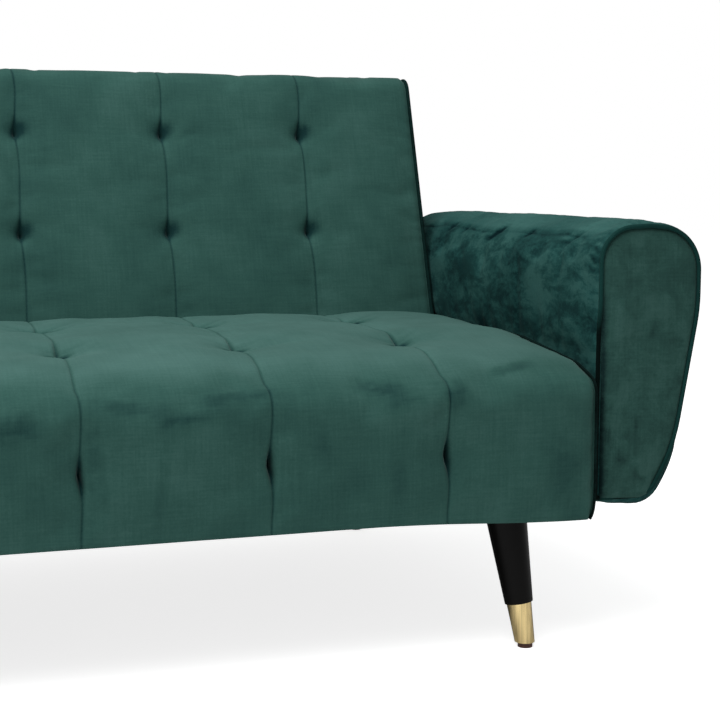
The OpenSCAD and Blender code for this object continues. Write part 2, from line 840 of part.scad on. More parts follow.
module arm_ring(outer, inner) {
    difference() {
        polygon(arm_outline(outer));
        polygon(arm_outline(inner));
    }
}

module arm_cover() {
    color("seagreen") at_origin() difference() {
        along_y(arm_y0 + welt_d, arm_y1) arm_ring(0, skin_t);
        arm_bolt_holes();
    }
}

module arm_foam() {
    color("khaki") at_origin() difference() {
        along_y(arm_y0 + welt_d + arm_end_t, arm_y1 - arm_end_t)
            arm_ring(skin_t + fit_gap, skin_t + fit_gap + arm_foam_t);
        arm_bolt_holes();
    }
}

module arm_welts() {
    color("darkslategray") at_origin() both_sides()
        along_y(arm_y0, arm_y0 + welt_d) arm_ring(0, welt_d);
}

module arm_front_panel() {
    color("seagreen") at_origin() {
        along_y(arm_y0 + 1, arm_y0 + welt_d + arm_end_t - fit_gap)
            polygon(arm_outline(welt_d + fit_gap));
        along_y(arm_y0 + welt_d + fit_gap, arm_y0 + welt_d + arm_end_t - fit_gap)
            polygon(arm_outline(skin_t + fit_gap));
    }
}

module arm_rear_panels() {
    color("seagreen") at_origin() both_sides()
        along_y(arm_y1 - arm_end_t + fit_gap, arm_y1) polygon(arm_outline(skin_t + fit_gap));
}

module arm_inner_panels() {
    inset = skin_t + arm_foam_t + 2 * fit_gap;
    color("burlywood") at_origin() both_sides() difference() {
        along_y(arm_y0 + welt_d + arm_end_t, arm_y1 - arm_end_t) intersection() {
            polygon(arm_outline(inset));
            translate([arm_panel_x0, arm_z0]) square([arm_panel_t, arm_h]);
        }
        arm_bolt_holes();
        for (p = arm_bolts_at)
            rod_x(arm_panel_x0 + 3, arm_panel_x1 + over, p[0], p[1], nut_barrel_d + 2 * bolt_gap);
    }
}

module arm_shells() {
    inset = skin_t + arm_foam_t + 2 * fit_gap;
    color("peru") at_origin() both_sides()
        along_y(arm_y0 + welt_d + arm_end_t, arm_y1 - arm_end_t) intersection() {
            arm_ring(inset, inset + arm_shell_t);
            translate([arm_panel_x1 + fit_gap, 0]) square([arm_w, arm_h]);
        }
}

module arm_ribs() {
    inset = skin_t + arm_foam_t + arm_shell_t + 3 * fit_gap;
    first = arm_y0 + welt_d + arm_end_t + 4;
    last = arm_y1 - arm_end_t - 4 - rib_t;
    color("burlywood") at_origin() both_sides()
        for (y = [first, (first + last) / 2 - 60, last]) along_y(y, y + rib_t) intersection() {
            polygon(arm_outline(inset));
            translate([arm_panel_x1, 0]) square([arm_w, arm_h]);
        }
}

// Bolts from inside the side rails, each with its flanged nut inside the arm
module arm_bolts() {
    nut_x0 = arm_panel_x0 + 3 + fit_gap;
    color("gainsboro") at_origin() both_sides() for (p = arm_bolts_at) {
        rod_x(rail_x0, arm_panel_x1 + 2, p[0], p[1], arm_bolt_d);
        rod_x(rail_x0 - arm_bolt_head_t, rail_x0, p[0], p[1], arm_bolt_head_d);
        rod_x(nut_x0, arm_panel_x1 + nut_flange_t, p[0], p[1], nut_barrel_d);
        rod_x(arm_panel_x1, arm_panel_x1 + nut_flange_t, p[0], p[1], nut_flange_d);
    }
}

// Distance rings between the frame and the arm
module arm_spacers() {
    color([0.1, 0.1, 0.1]) at_origin() both_sides() for (p = arm_bolts_at) difference() {
        rod_x(p[0] > seat_d ? rail_x1 : end_x, arm_x0, p[0], p[1], p[0] > seat_d ? 30 : spacer_d);
        rod_x(rail_x1 - over, arm_x0 + over, p[0], p[1], arm_bolt_d + 2 * bolt_gap);
    }
}

// ---- Nodes -----------------------------------------------------------------------------

front_rail();
seat_rear_rail();
rear_rail();
on_side(-1) side_rail();  // side_rail_left
side_rail();  // side_rail_right
stretchers();
corner_blocks();
seat_springs();
seat_spring_clips();
seat_felt();
front_pad();
seat_foam();
seat_cover();
seat_welts();
dust_cover();
leg(leg_signs[0]);  // leg_front_left
leg(leg_signs[1]);  // leg_front_right
leg(leg_signs[2]);  // leg_rear_left
leg(leg_signs[3]);  // leg_rear_right
centre_leg();
ferrules();
glides();
leg_plates();
leg_bolts();
on_side(-1) back_post();  // back_post_left
back_post();  // back_post_right
back_top_rail();
back_bottom_rail();
back_stiles();
back_springs();
back_spring_clips();
back_felt();
back_foam();
back_cover();
back_rear_panel();
back_welts();
on_side(-1) hinge_base_plate();  // hinge_base_plate_left
hinge_base_plate();  // hinge_base_plate_right
on_side(-1) hinge_back_plate();  // hinge_back_plate_left
hinge_back_plate();  // hinge_back_plate_right
hinge_rivets();
on_side(-1) pawl();  // pawl_left
pawl();  // pawl_right
pawl_pins();
pawl_springs();
hinge_base_bolts();
hinge_back_bolts();
on_side(-1) arm_cover();  // arm_cover_left
arm_cover();  // arm_cover_right
on_side(-1) arm_front_panel();  // arm_front_panel_left
arm_front_panel();  // arm_front_panel_right
on_side(-1) arm_foam();  // arm_foam_left
arm_foam();  // arm_foam_right
arm_welts();
arm_ribs();
arm_inner_panels();
arm_shells();
arm_rear_panels();
arm_bolts();
arm_spacers();
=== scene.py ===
"""A click-clack sofa bed in velvet: upholstery, piping, finishes and studio around the built frame.

Metres, in the frame's axes: X along the sofa, +Y to the rear, +Z up. Each operator makes one
piece, or one group of like pieces, and the panel in the 3D view's sidebar lists them all.
"""
import json
import math

import bmesh
import bpy
import numpy as np
from bpy.props import FloatProperty, FloatVectorProperty, PointerProperty
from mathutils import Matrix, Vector


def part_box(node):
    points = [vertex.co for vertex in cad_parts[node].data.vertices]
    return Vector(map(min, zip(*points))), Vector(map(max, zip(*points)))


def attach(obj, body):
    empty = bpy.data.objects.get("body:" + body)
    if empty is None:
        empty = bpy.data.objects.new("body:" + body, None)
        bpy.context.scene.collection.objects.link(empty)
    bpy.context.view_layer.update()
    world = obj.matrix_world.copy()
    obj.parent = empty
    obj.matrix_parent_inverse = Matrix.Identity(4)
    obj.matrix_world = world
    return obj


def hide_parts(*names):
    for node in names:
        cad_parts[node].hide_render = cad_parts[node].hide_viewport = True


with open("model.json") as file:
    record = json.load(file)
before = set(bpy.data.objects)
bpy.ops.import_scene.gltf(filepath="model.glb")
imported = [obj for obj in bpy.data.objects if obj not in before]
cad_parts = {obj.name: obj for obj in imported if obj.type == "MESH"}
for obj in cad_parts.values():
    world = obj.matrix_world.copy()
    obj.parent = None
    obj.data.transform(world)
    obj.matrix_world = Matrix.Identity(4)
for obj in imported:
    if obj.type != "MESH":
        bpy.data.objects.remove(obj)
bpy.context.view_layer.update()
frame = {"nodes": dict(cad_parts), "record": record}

bl_info = {
    "name": "Velvet sofa bed",
    "version": (1, 0, 0),
    "blender": (4, 5, 0),
    "location": "View3D > Sidebar > Sofa bed",
    "description": "Upholsters, finishes and lights the sofa bed's built frame",
    "category": "Object",
}


# ---------------------------------------------------------------------------------------------
# Sizes and colours
# ---------------------------------------------------------------------------------------------


def length(name, value, description):
    """A size in metres for the panel."""
    return FloatProperty(
        name=name, default=value, description=description, subtype="DISTANCE", unit="LENGTH"
    )


def colour(name, value, description):
    """A colour for the panel."""
    return FloatVectorProperty(
        name=name, default=value, description=description, subtype="COLOR", size=3, min=0, max=1
    )


def angle(name, value, description):
    """An angle for the panel."""
    return FloatProperty(
        name=name, default=value, description=description, subtype="ANGLE", unit="ROTATION"
    )


class SofaPadding(bpy.types.PropertyGroup):
    """Sizes of the padded pieces."""

    seam_pitch: length("Seam pitch", 0.233, "Distance from one sewn seam to the next")
    seam_depth: length("Seam depth", 0.0020, "How far a seam draws the velvet in")
    seam_width: length("Seam width", 0.0012, "Half width of the crease along a seam")
    seat_rise: length("Seat rise", 0.011, "How far the seat's foam stands above its cover's edge")
    seat_puff: length("Seat puff", 0.0016, "How far each seat panel swells between its seams")
    back_puff: length("Back puff", 0.0008, "How far each back panel swells between its seams")
    arm_puff: length("Arm puff", 0.0010, "How far the arm's padding swells")
    panel_puff: length("Panel puff", 0.007, "How far the arm's front panel is domed")
    end_swell: length("End swell", 0.0105, "How far the ends of seat and back swell past their frames")
    piping_size: length("Piping size", 0.0062, "Diameter of the piping")
    slim_piping: length("Slim piping", 0.0040, "Diameter of the piping at the seat's ends")
    corner_droop: length("Corner droop", 0.0100, "How far the seat's lower front corners hang down")
    cloth_sag: length("Dust cloth sag", 0.0050, "How far the dust cloth hangs between the rails")


class SofaSeat(bpy.types.PropertyGroup):
    """Outline of the seat, which follows the frame's own."""

    front_drop: length("Front drop", 0.038, "How far the seat's top falls to its front edge")
    front_step: length("Front step", 0.060, "Depth of the steep part of that fall")
    front_step_drop: length("Step drop", 0.019, "Fall of the seat's top over the steep part")
    front_run: length("Front run", 0.240, "How far back the fall begins")
    rear_tuft: length("Rear tufts", 0.420, "Distance of the rear tufts behind the seat's front")
    front_tuft: length("Front tufts", 0.185, "Distance of the front tufts behind the seat's front")
    face_tuft: length("Face tufts", 0.272, "Height of the tufts on the seat's front face")


class SofaBack(bpy.types.PropertyGroup):
    """Outline of the back, which follows the frame's own."""

    thickness: length("Thickness", 0.130, "Thickness of the back")
    height: length("Height", 0.4952, "Length of the back along its face")
    recline: angle("Recline", math.radians(18.5), "Angle of the back from upright")
    pivot_in: length("Pivot depth", 0.055, "Depth of the hinge axis behind the back's face")
    pivot_up: length("Pivot height", 0.0254, "Height of the hinge axis above the back's foot")
    first_row: length("First row", 0.116, "Distance of the top tufts below the back's top")
    row_pitch: length("Row pitch", 0.167, "Distance from one row of tufts to the next")


class SofaColours(bpy.types.PropertyGroup):
    """Colours of the velvet, the trim and the legs."""

    velvet: colour("Velvet", (0.0265, 0.083, 0.0695), "Colour of the velvet, its pile lying evenly")
    # Brushed is both pile brushed over and the painted shade in seams, round tufts and in the gaps beside
    # the arms.
    brushed: colour("Brushed", (0.004, 0.029, 0.029), "Velvet whose pile is brushed the other way")
    # Lit pile is also the painted highlight on the seat's top, where the light from above falls.
    lit: colour("Lit pile", (0.062, 0.145, 0.128), "Velvet whose pile catches the light")
    crushed: colour("Crushed velvet", (0.0125, 0.056, 0.052), "Colour of the arms' crushed velvet")
    # The dark crushed colour is also the painted shade along the creases and gathers of the arms' sleeves.
    crushed_dark: colour("Crushed dark", (0.0012, 0.0125, 0.0145), "The arms' velvet where it lies over")
    # The lit crushed colour is also the painted highlight along the top roll of each arm.
    crushed_lit: colour("Crushed lit", (0.038, 0.112, 0.101), "The arms' velvet where it stands up")
    piping: colour("Piping", (0.006, 0.034, 0.030), "Colour of the piping")
    lacquer: colour("Lacquer", (0.0022, 0.0020, 0.0020), "Colour of the legs' lacquer")
    brass: colour("Brass", (0.80, 0.62, 0.30), "Colour of the ferrules")
    glide: colour("Glide", (0.075, 0.018, 0.010), "Colour of the glides")
    floor: colour("Floor", (0.93, 0.93, 0.93), "Colour of the studio floor")


class SofaStage(bpy.types.PropertyGroup):
    """Camera and light."""

    lens: FloatProperty(
        name="Lens", default=75.87, description="Focal length in millimetres", unit="CAMERA"
    )
    yaw: angle("Yaw", 0.316, "Turn of the camera to +X")
    pitch: angle("Pitch", 0.114, "Tilt of the camera down")
    camera_x: length("Camera X", -0.0007, "Place of the camera along the sofa")
    camera_y: length("Camera Y", -2.203, "Place of the camera in front of the sofa")
    camera_z: length("Camera Z", 0.615, "Height of the camera")
    softbox: length("Softbox", 2.6, "Width of the softbox")
    power: FloatProperty(name="Power", default=105.0, description="Power of the softbox in watts")
    ambient: FloatProperty(name="Ambient", default=0.30, description="Strength of the even light")


# ---------------------------------------------------------------------------------------------
# Outlines
# ---------------------------------------------------------------------------------------------


# About how far, in radians, a rounded corner turns from one of its points to the next.
CORNER_TURN = 0.05
# Places tried when stations are spaced, and when the nearest place on an outline is looked for.
SPACING_TRIES = 6001
NEAREST_TRIES = 4001


def unit(vector):
    """The vector at length one."""
    return vector / np.linalg.norm(vector)


def rounded(corners, radii, closed=False):
    """The points of an outline whose corners are turned with these radii."""
    count = len(corners)
    points = []
    for index, radius in enumerate(radii):
        corner = np.array(corners[index], float)
        if not closed and index in (0, count - 1):
            points.append(corner)
            continue
        back = unit(np.array(corners[index - 1]) - corner)
        ahead = unit(np.array(corners[(index + 1) % count]) - corner)
        half = math.acos(float(np.clip(back @ ahead, -1, 1))) / 2
        centre = corner + unit(back + ahead) * radius / math.sin(half)
        start = corner + back * radius / math.tan(half) - centre
        end = corner + ahead * radius / math.tan(half) - centre
        first = math.atan2(start[1], start[0])
        sweep = (math.atan2(end[1], end[0]) - first + math.pi) % (2 * math.pi) - math.pi
        for part in np.linspace(0, 1, max(5, int(abs(sweep) / CORNER_TURN))):
            bearing = first + sweep * part
            points.append(centre + radius * np.array([math.cos(bearing), math.sin(bearing)]))
    if closed:
        points.append(points[0])
    return np.array(points)


class Outline:
    """A plane outline measured along its length, with its outside on the left hand."""

    def __init__(self, points):
        step = np.linalg.norm(np.diff(points, axis=0), axis=1)
        kept = np.concatenate([[True], step > 1e-7])
        self.points = points[kept]
        step = np.linalg.norm(np.diff(self.points, axis=0), axis=1)
        self.along = np.concatenate([[0], np.cumsum(step)])
        self.length = float(self.along[-1])

    def at(self, stations):
        """Points at these distances along the outline."""
        columns = [np.interp(stations, self.along, self.points[:, k]) for k in (0, 1)]
        return np.stack(columns, axis=-1)

    def outward(self, stations):
        """Directions square to the outline, pointing out."""
        reach = 0.002
        wrapped = np.allclose(self.points[0], self.points[-1])
        ahead = stations + reach
        behind = stations - reach
        if wrapped:
            ahead = ahead % self.length
            behind = behind % self.length
        tangent = self.at(ahead) - self.at(behind)
        tangent /= np.linalg.norm(tangent, axis=1)[:, None]
        return np.stack([-tangent[:, 1], tangent[:, 0]], axis=-1)

    def nearest(self, point):
        """Distance along the outline of the place nearest a point."""
        stations = np.linspace(0, self.length, NEAREST_TRIES)
        gap = np.linalg.norm(self.at(stations) - np.array(point), axis=1)
        return float(stations[np.argmin(gap)])


def graded(start, end, marks, coarse, fine, reach):
    """Stations from start to end, closer together near the marks."""
    scale = np.linspace(start, end, SPACING_TRIES)
    away = np.min(np.abs(scale[:, None] - np.array(marks)[None, :]), axis=1)
    spacing = coarse - (coarse - fine) * hump(away, reach)
    steps = np.concatenate([[0], np.cumsum(np.diff(scale) / spacing[1:])])
    count = max(2, int(round(steps[-1])))
    return np.interp(np.linspace(0, steps[-1], count + 1), steps, scale)


def seam_painted_shade(to_seam):
    """Painted shade in a seam's crease: how far the colour darkens there."""
    return 0.34 * hump(to_seam, 0.0015)


def rolled(to_end, cord):
    """How far a face dips to the piping of this size that runs along its end."""
    groove_depth, groove_width, beside_cord = 0.0045, 0.0022, 0.0012
    under_cord, edge_width = 0.0036, 0.002
    groove = groove_depth * hump(to_end - cord - beside_cord, groove_width)
    return groove + under_cord * smooth_step((cord - to_end) / edge_width + 0.5)


def smooth_step(value):
    """Nought to one with level ends."""
    value = np.clip(value, 0, 1)
    return value * value * (3 - 2 * value)


def hump(distance, width):
    """One on a line, falling smoothly away to nought on both its sides."""
    return np.exp(-((distance / width) ** 2))


def near(distance, reach):
    """One on a line, fading over this reach."""
    return np.exp(-distance / reach)


def clear(distance, reach):
    """Nought on a line, growing to one over this reach."""
    return 1 - np.exp(-distance / reach)


def between_seams(to_seam, to_end):
    """How full a panel is, from nought at its seams and end to one between them."""
    return clear(to_seam, 0.030) * clear(to_end, 0.020)


def spread(x, y, z):
    """Points over a grid, from their coordinates along each axis."""
    return np.stack(np.broadcast_arrays(x, y, z), axis=-1)


def uneven(u, v, seed, *waves):
    """Ripples on ripples, each given as (height, size)."""
    return sum(height * ripple(u, v, size, seed + step) for step, (height, size) in enumerate(waves))


def ripple(u, v, size, seed, count=14):
    """A smooth uneven field of about one either way, with hills of this size."""
    rng = np.random.default_rng(seed)
    field = np.zeros(np.broadcast(u, v).shape)
    for _ in range(count):
        turn = rng.uniform(0, 2 * math.pi)
        rate = 2 * math.pi / (size * rng.uniform(0.7, 1.9))
        phase = rng.uniform(0, 2 * math.pi)
        field = field + np.sin(rate * (u * math.cos(turn) + v * math.sin(turn)) + phase)
    return field / math.sqrt(count)


# ---------------------------------------------------------------------------------------------
# Meshes
# ---------------------------------------------------------------------------------------------


# How many frames a cloth is given to settle over its filling.
SETTLING_FRAMES = 20
# Sides of a cord, and stations along one round an arm and along an end of the seat or back.
CORD_SIDES = 12
ARM_CORD_STATIONS = 301
END_CORD_STATIONS = 241
# Steps from the rim of a cushion's end, and of an arm's end panel, to its middle.
END_STEPS = 14
DOME_STEPS = 28
# Height over which the swell of a cushion's end grows from its open side.
END_FOOT = 0.05
# Stretch at each end of a cushion's hollow into which the rim beyond it is drawn.
RIM_STRETCH = 0.02
# Thickness left between a cushion's hollow and a hinge slot, and lean of the slot's walls.
SLOT_WALL = 0.003
SLOT_EDGE = 0.0004
# Nap of velvet whose pile lies evenly, and at the ends of the seat and the back.
PLAIN_NAP = 0.5
END_NAP = 0.42


class Shell:
    """Points and faces of one piece as it is put together."""

    def __init__(self):
        self.points = []
        self.nap_and_painted_light = []
        self.faces = []

    def add(self, points, nap_and_painted_light=None):
        """Adds a block of points and returns their numbers in the block's own shape."""
        points = np.asarray(points, float)
        start = len(self.points)
        flat = points.reshape(-1, 3)
        self.points.extend(flat.tolist())
        value = np.full(len(flat), PLAIN_NAP) if nap_and_painted_light is None else np.asarray(nap_and_painted_light).reshape(-1)
        self.nap_and_painted_light.extend(value.tolist())
        return np.arange(start, start + len(flat)).reshape(points.shape[:-1])

    def grid(self, block, flip=False):
        """Faces between neighbouring rows and columns of a block."""
        a, b = block[:-1, :-1].ravel(), block[1:, :-1].ravel()
        c, d = block[1:, 1:].ravel(), block[:-1, 1:].ravel()
        quads = np.stack([a, d, c, b] if flip else [a, b, c, d], axis=-1)
        self.faces.extend(quads.tolist())

    def strip(self, first, second):
        """Faces between two lines of as many points."""
        self.grid(np.stack([first, second]))

    def fan(self, line, tip, flip=False):
        """Triangles from a line of points to one point."""
        for a, b in zip(line[:-1], line[1:]):
            self.faces.append([int(b), int(a), int(tip)] if flip else [int(a), int(b), int(tip)])

    def hem(self, face, lining, flip=False):
        """Faces round the edge between a face and its lining."""
        for first, second in (
            (face[0], lining[0]),
            (lining[-1], face[-1]),
            (lining[:, 0], face[:, 0]),
            (face[:, -1], lining[:, -1]),
        ):
            if flip:
                self.strip(second, first)
            else:
                self.strip(first, second)

    def build(self, name, place=None):
        """Makes the object, with its points moved by the place function if there is one."""
        points = np.array(self.points)
        if place is not None:
            points = place(points)
        mesh = bpy.data.meshes.new(name)
        mesh.from_pydata(points.tolist(), [], self.faces)
        # This value holds how the pile lies, together with painted shade in seams, tufts and gaps and
        # painted highlights on the tops.
        nap_and_painted_light = mesh.attributes.new("nap_and_painted_light", "FLOAT", "POINT")
        nap_and_painted_light.data.foreach_set("value", np.array(self.nap_and_painted_light, dtype=np.float32))
        mesh.validate()
        turned = bmesh.new()
        turned.from_mesh(mesh)
        bmesh.ops.recalc_face_normals(turned, faces=turned.faces)
        turned.to_mesh(mesh)
        turned.free()
        mesh.polygons.foreach_set("use_smooth", [True] * len(mesh.polygons))
        piece = bpy.data.objects.new(name, mesh)
        bpy.context.scene.collection.objects.link(piece)
        return piece


def finish_piece(piece, body, material, replaced=()):
    """Gives a piece its body, slot and material, and hides the frame's nodes that it stands for."""
    piece.data.materials.append(material)
    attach(piece, body)
    if replaced:
        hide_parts(*replaced)


def settled(points, held, pressure, give, cap, wrapped=False):
    """How far the points of a cloth, in rows and columns, move as its filling pushes it out.

    Held points stay. The cloth can grow by this share of its size, and no point moves further
    than the cap.
    """
    scene = bpy.context.scene
    rows, columns = held.shape
    numbers = np.arange(rows * columns).reshape(rows, columns)
    if wrapped:
        numbers = np.hstack([numbers, numbers[:, :1]])
    cloth = Shell()
    cloth.add(points)
    cloth.grid(numbers, flip=wrapped)
    mesh = bpy.data.meshes.new("settling")
    mesh.from_pydata(cloth.points, [], cloth.faces)
    sheet = bpy.data.objects.new("settling", mesh)
    scene.collection.objects.link(sheet)
    pins = sheet.vertex_groups.new(name="held")
    pins.add(np.flatnonzero(held).tolist(), 1.0, "REPLACE")
    modifier = sheet.modifiers.new("Cloth", "CLOTH")
    settings = modifier.settings
    settings.vertex_group_mass = "held"
    settings.use_pressure = True
    settings.uniform_pressure_force = pressure
    settings.shrink_min = -give
    settings.effector_weights.gravity = 0
    modifier.collision_settings.use_collision = False
    modifier.point_cache.frame_start = 1
    modifier.point_cache.frame_end = SETTLING_FRAMES
    for step in range(1, SETTLING_FRAMES + 1):
        scene.frame_set(step)
    moved = np.empty(rows * columns * 3, dtype=np.float32)
    shape = sheet.evaluated_get(bpy.context.evaluated_depsgraph_get())
    shape.data.vertices.foreach_get("co", moved)
    scene.frame_set(1)
    bpy.data.objects.remove(sheet)
    bpy.data.meshes.remove(mesh)
    move = moved.reshape(points.shape) - points
    size = np.maximum(np.linalg.norm(move, axis=-1, keepdims=True), 1e-9)
    return move * cap * np.tanh(size / cap) / size


def eased(values, places, stations, axis):
    """Values known at places along an axis, read on a smooth curve at other stations."""
    where = np.interp(stations, places, np.arange(len(places)))
    base = np.minimum(where.astype(int), len(places) - 2)
    part = where - base
    weights = (
        -0.5 * part + part**2 - 0.5 * part**3,
        1 - 2.5 * part**2 + 1.5 * part**3,
        0.5 * part + 2 * part**2 - 1.5 * part**3,
        -0.5 * part**2 + 0.5 * part**3,
    )
    shape = [1] * values.ndim
    shape[axis] = len(part)
    read = 0
    for step, weight in zip((-1, 0, 1, 2), weights):
        index = np.clip(base + step, 0, len(places) - 1)
        read = read + np.take(values, index, axis=axis) * weight.reshape(shape)
    return read


def evenly(marks, spacing):
    """Stations about this far apart that take in every mark."""
    marks = np.sort(np.array(marks, float))
    runs = []
    for low, high in zip(marks[:-1], marks[1:]):
        runs.append(np.linspace(low, high, max(1, int(round((high - low) / spacing))) + 1)[:-1])
    return np.concatenate(runs + [marks[-1:]])


def filled_panels(outline, across, along, seams, runs, swell, spacing):
    """How far a cushion's cover moves when its filling pushes it out between seams and tufts."""
    xs = evenly([across[0], across[-1]] + list(seams), spacing)
    stations = evenly([0, outline.length] + list(runs), spacing)
    section = outline.at(stations)
    normal = outline.outward(stations)
    out, _, sway = swell(xs[:, None], stations[None, :])
    points = section[None] + normal[None] * out[..., None]
    points = np.concatenate([(xs[:, None] + sway)[..., None], points], axis=-1)
    on_seam = np.min(np.abs(xs[:, None] - seams[None, :]), axis=1) < 1e-6
    held = np.zeros(out.shape, bool)
    held[on_seam] = True
    held[[0, -1]] = True
    held[:, [0, 1, -2, -1]] = True
    move = settled(points, held, pressure=0.8, give=0.004, cap=0.0045)
    return eased(eased(move, xs, across, 0), stations, along, 1)


def padded_lid(outline, across, along, swell, end_swell, room, settle, notch=None):
    """A padded block, hollow from its open side, which lies in the plane where height is nought.

    The outline runs in (run, height) from one open edge over to the other and is swept across.
    swell(x, along) gives how far the face stands out, how its pile lies with its painted shade and
    highlights, and how far it sways along X, end_swell is how far the end panels stand out, and settle how
    far each point then moves.
    room is the hollow's (half width, first run, last run, height).
    """
    shell = Shell()
    section = outline.at(along)
    normal = outline.outward(along)
    swell_out, nap_and_painted_light, sway = swell(across[:, None], along[None, :])
    rows = []
    for index, x in enumerate(across):
        flat = section + normal * swell_out[index][:, None]
        flat[0, 1] = 0
        flat[-1, 1] = 0
        rows.append(np.column_stack([x + sway[index], flat]) + settle[index])
    if notch:
        rows, nap_and_painted_light = cut_notches(rows, nap_and_painted_light, section, notch)
    face = shell.add(np.array(rows), np.array(nap_and_painted_light))
    shell.grid(face, flip=True)

    middle = np.array([(section[0, 0] + section[-1, 0]) / 2, 0.0])
    rim = [face[:, 0][::-1]]
    for side in (0, -1):
        edge = np.array(rows[side])
        rings = []
        for step in np.linspace(1, 0, END_STEPS + 1)[1:-1]:
            ring = edge.copy()
            ring[:, 1:] = middle + (edge[:, 1:] - middle) * step
            bulge = end_swell * (1 - step**6) * smooth_step(ring[:, 2] / END_FOOT)
            ring[:, 0] += math.copysign(1, edge[0, 0]) * bulge
            ring[[0, -1], 2] = 0
            rings.append(ring)
        block = shell.add(np.array(rings), np.full((len(rings), len(edge)), END_NAP))
        block = np.vstack([face[side][None, :], block])
        tip = shell.add([[edge[0, 0], middle[0], 0.0]])
        shell.grid(block, flip=side == 0)
        shell.fan(block[-1], tip[0], flip=side == -1)
        outline_rim = np.concatenate([block[1:, 0], tip, block[1:, -1][::-1]])
        rim.append(outline_rim if side == 0 else outline_rim[::-1])
        if side == 0:
            rim.append(face[:, -1])
    rim = np.concatenate(rim)

    hollow_out(shell, rim, section, room, notch)
    return shell


def hollow_out(shell, rim, section, room, notch):
    """Lines a padded block's hollow, from the rim of its open side up to a level ceiling."""
    half, first, last, height = room
    outer = np.array(shell.points)[rim]
    inner = outer.copy()
    reach = np.abs(outer[:, 0])
    stops = [0, half - RIM_STRETCH, reach.max()]
    places = [0, half - RIM_STRETCH, half]
    if notch:
        stops = [0, notch[0], notch[1], reach.max()]
        places = [0, notch[0] - SLOT_WALL, notch[1] + SLOT_WALL, half]
    inner[:, 0] = np.sign(outer[:, 0]) * np.interp(reach, stops, places)
    share = (outer[:, 1] - section[0, 0]) / (section[-1, 0] - section[0, 0])
    inner[:, 1] = first + share * (last - first)
    lip = shell.add(inner)
    inner[:, 2] = height
    ceiling = shell.add(inner)
    loop = np.concatenate([rim, rim[:1]])
    lip_loop = np.concatenate([lip, lip[:1]])
    shell.strip(loop, lip_loop)
    shell.strip(lip_loop, np.concatenate([ceiling, ceiling[:1]]))
    shell.faces.append([int(n) for n in ceiling])


def cut_notches(rows, nap_and_painted_light, section, notch):
    """Cuts a slot for a hinge into each end of the rows, from the open side at their first point."""
    low, high, run, height = notch
    corner = int(np.argmax(section[:, 1] > height))
    turn = corner // 2
    cut = section[: corner + 1].copy()
    left = corner + 1 - turn
    cut[:, 0] = np.concatenate([np.full(turn, run), np.linspace(run, section[corner, 0], left)])
    cut[:, 1] = np.concatenate([np.linspace(0, height, turn), np.full(left, height)])
    made, shades = [], []
    whole = True
    before, shade_before = rows[0], nap_and_painted_light[0]
    for row, shade in zip(rows, nap_and_painted_light):
        inside = bool(low <= abs(row[0, 0]) <= high)
        if inside is whole:
            wall = min((low, high), key=lambda value: abs(value - abs(row[0, 0])))
            share = (math.copysign(wall, row[0, 0]) - before[0, 0]) / (row[0, 0] - before[0, 0])
            edge = before + share * (row - before)
            edge_shade = shade_before + share * (shade - shade_before)
            slot_edge = edge.copy()
            slot_edge[:, 0] += SLOT_EDGE if inside else -SLOT_EDGE
            slot_edge[: corner + 1, 1:] = cut
            made.extend([edge, slot_edge] if inside else [slot_edge, edge])
            shades.extend([edge_shade, edge_shade])
            whole = not whole
        before, shade_before = row, shade
        if inside:
            row = row.copy()
            row[: corner + 1, 1:] = cut
        made.append(row)
        shades.append(shade)
    return made, shades


def filled_sleeve(outline, around, ends, swell, is_free, spacing):
    """How far a sleeve's velvet moves when its filling pushes it out from its ends."""
    count = int(round(outline.length / spacing))
    stations = np.linspace(0, outline.length, count + 1)
    levels = evenly([ends[0], ends[-1]], spacing)
    section = outline.at(stations)
    normal = outline.outward(stations)
    out, _ = swell(stations[None, :], levels[:, None])
    flat = section[None] + normal[None] * out[..., None]
    points = np.stack([flat[..., 0], levels[:, None] + 0 * out, flat[..., 1]], axis=-1)
    held = np.zeros(out.shape, bool)
    held[:] = ~is_free(section)[None, :]
    held[[0, -1]] = True
    loose = settled(points[:, :-1], held[:, :-1], pressure=1.0, give=0.012, cap=0.007, wrapped=True)
    move = np.concatenate([loose, loose[:, :1]], axis=1)
    return eased(eased(move, levels, ends, 0), stations, around, 1)


def padded_tube(outline, around, inner, ends, swell, settle):
    """A padded sleeve swept along Y from a closed outline in (x, z), open at both ends."""
    shell = Shell()
    section = outline.at(around)
    normal = outline.outward(around)
    hollow = inner.at(around / outline.length * inner.length)
    swell_out, nap_and_painted_light = swell(around[None, :], ends[:, None])
    rows = []
    for index, y in enumerate(ends):
        flat = section + normal * swell_out[index][:, None]
        rows.append(np.column_stack([flat[:, 0], np.full(len(flat), y), flat[:, 1]]) + settle[index])
    face = shell.add(np.array(rows)[:, :-1], np.array(nap_and_painted_light)[:, :-1])
    face = np.hstack([face, face[:, :1]])
    shell.grid(face)
    lining = [
        np.column_stack([hollow[:-1, 0], np.full(len(hollow) - 1, y), hollow[:-1, 1]])
        for y in (ends[0], ends[-1])
    ]
    lining = shell.add(np.array(lining))
    lining = np.hstack([lining, lining[:, :1]])
    shell.grid(lining, flip=True)
    shell.strip(lining[0], face[0])
    shell.strip(face[-1], lining[1])
    return shell


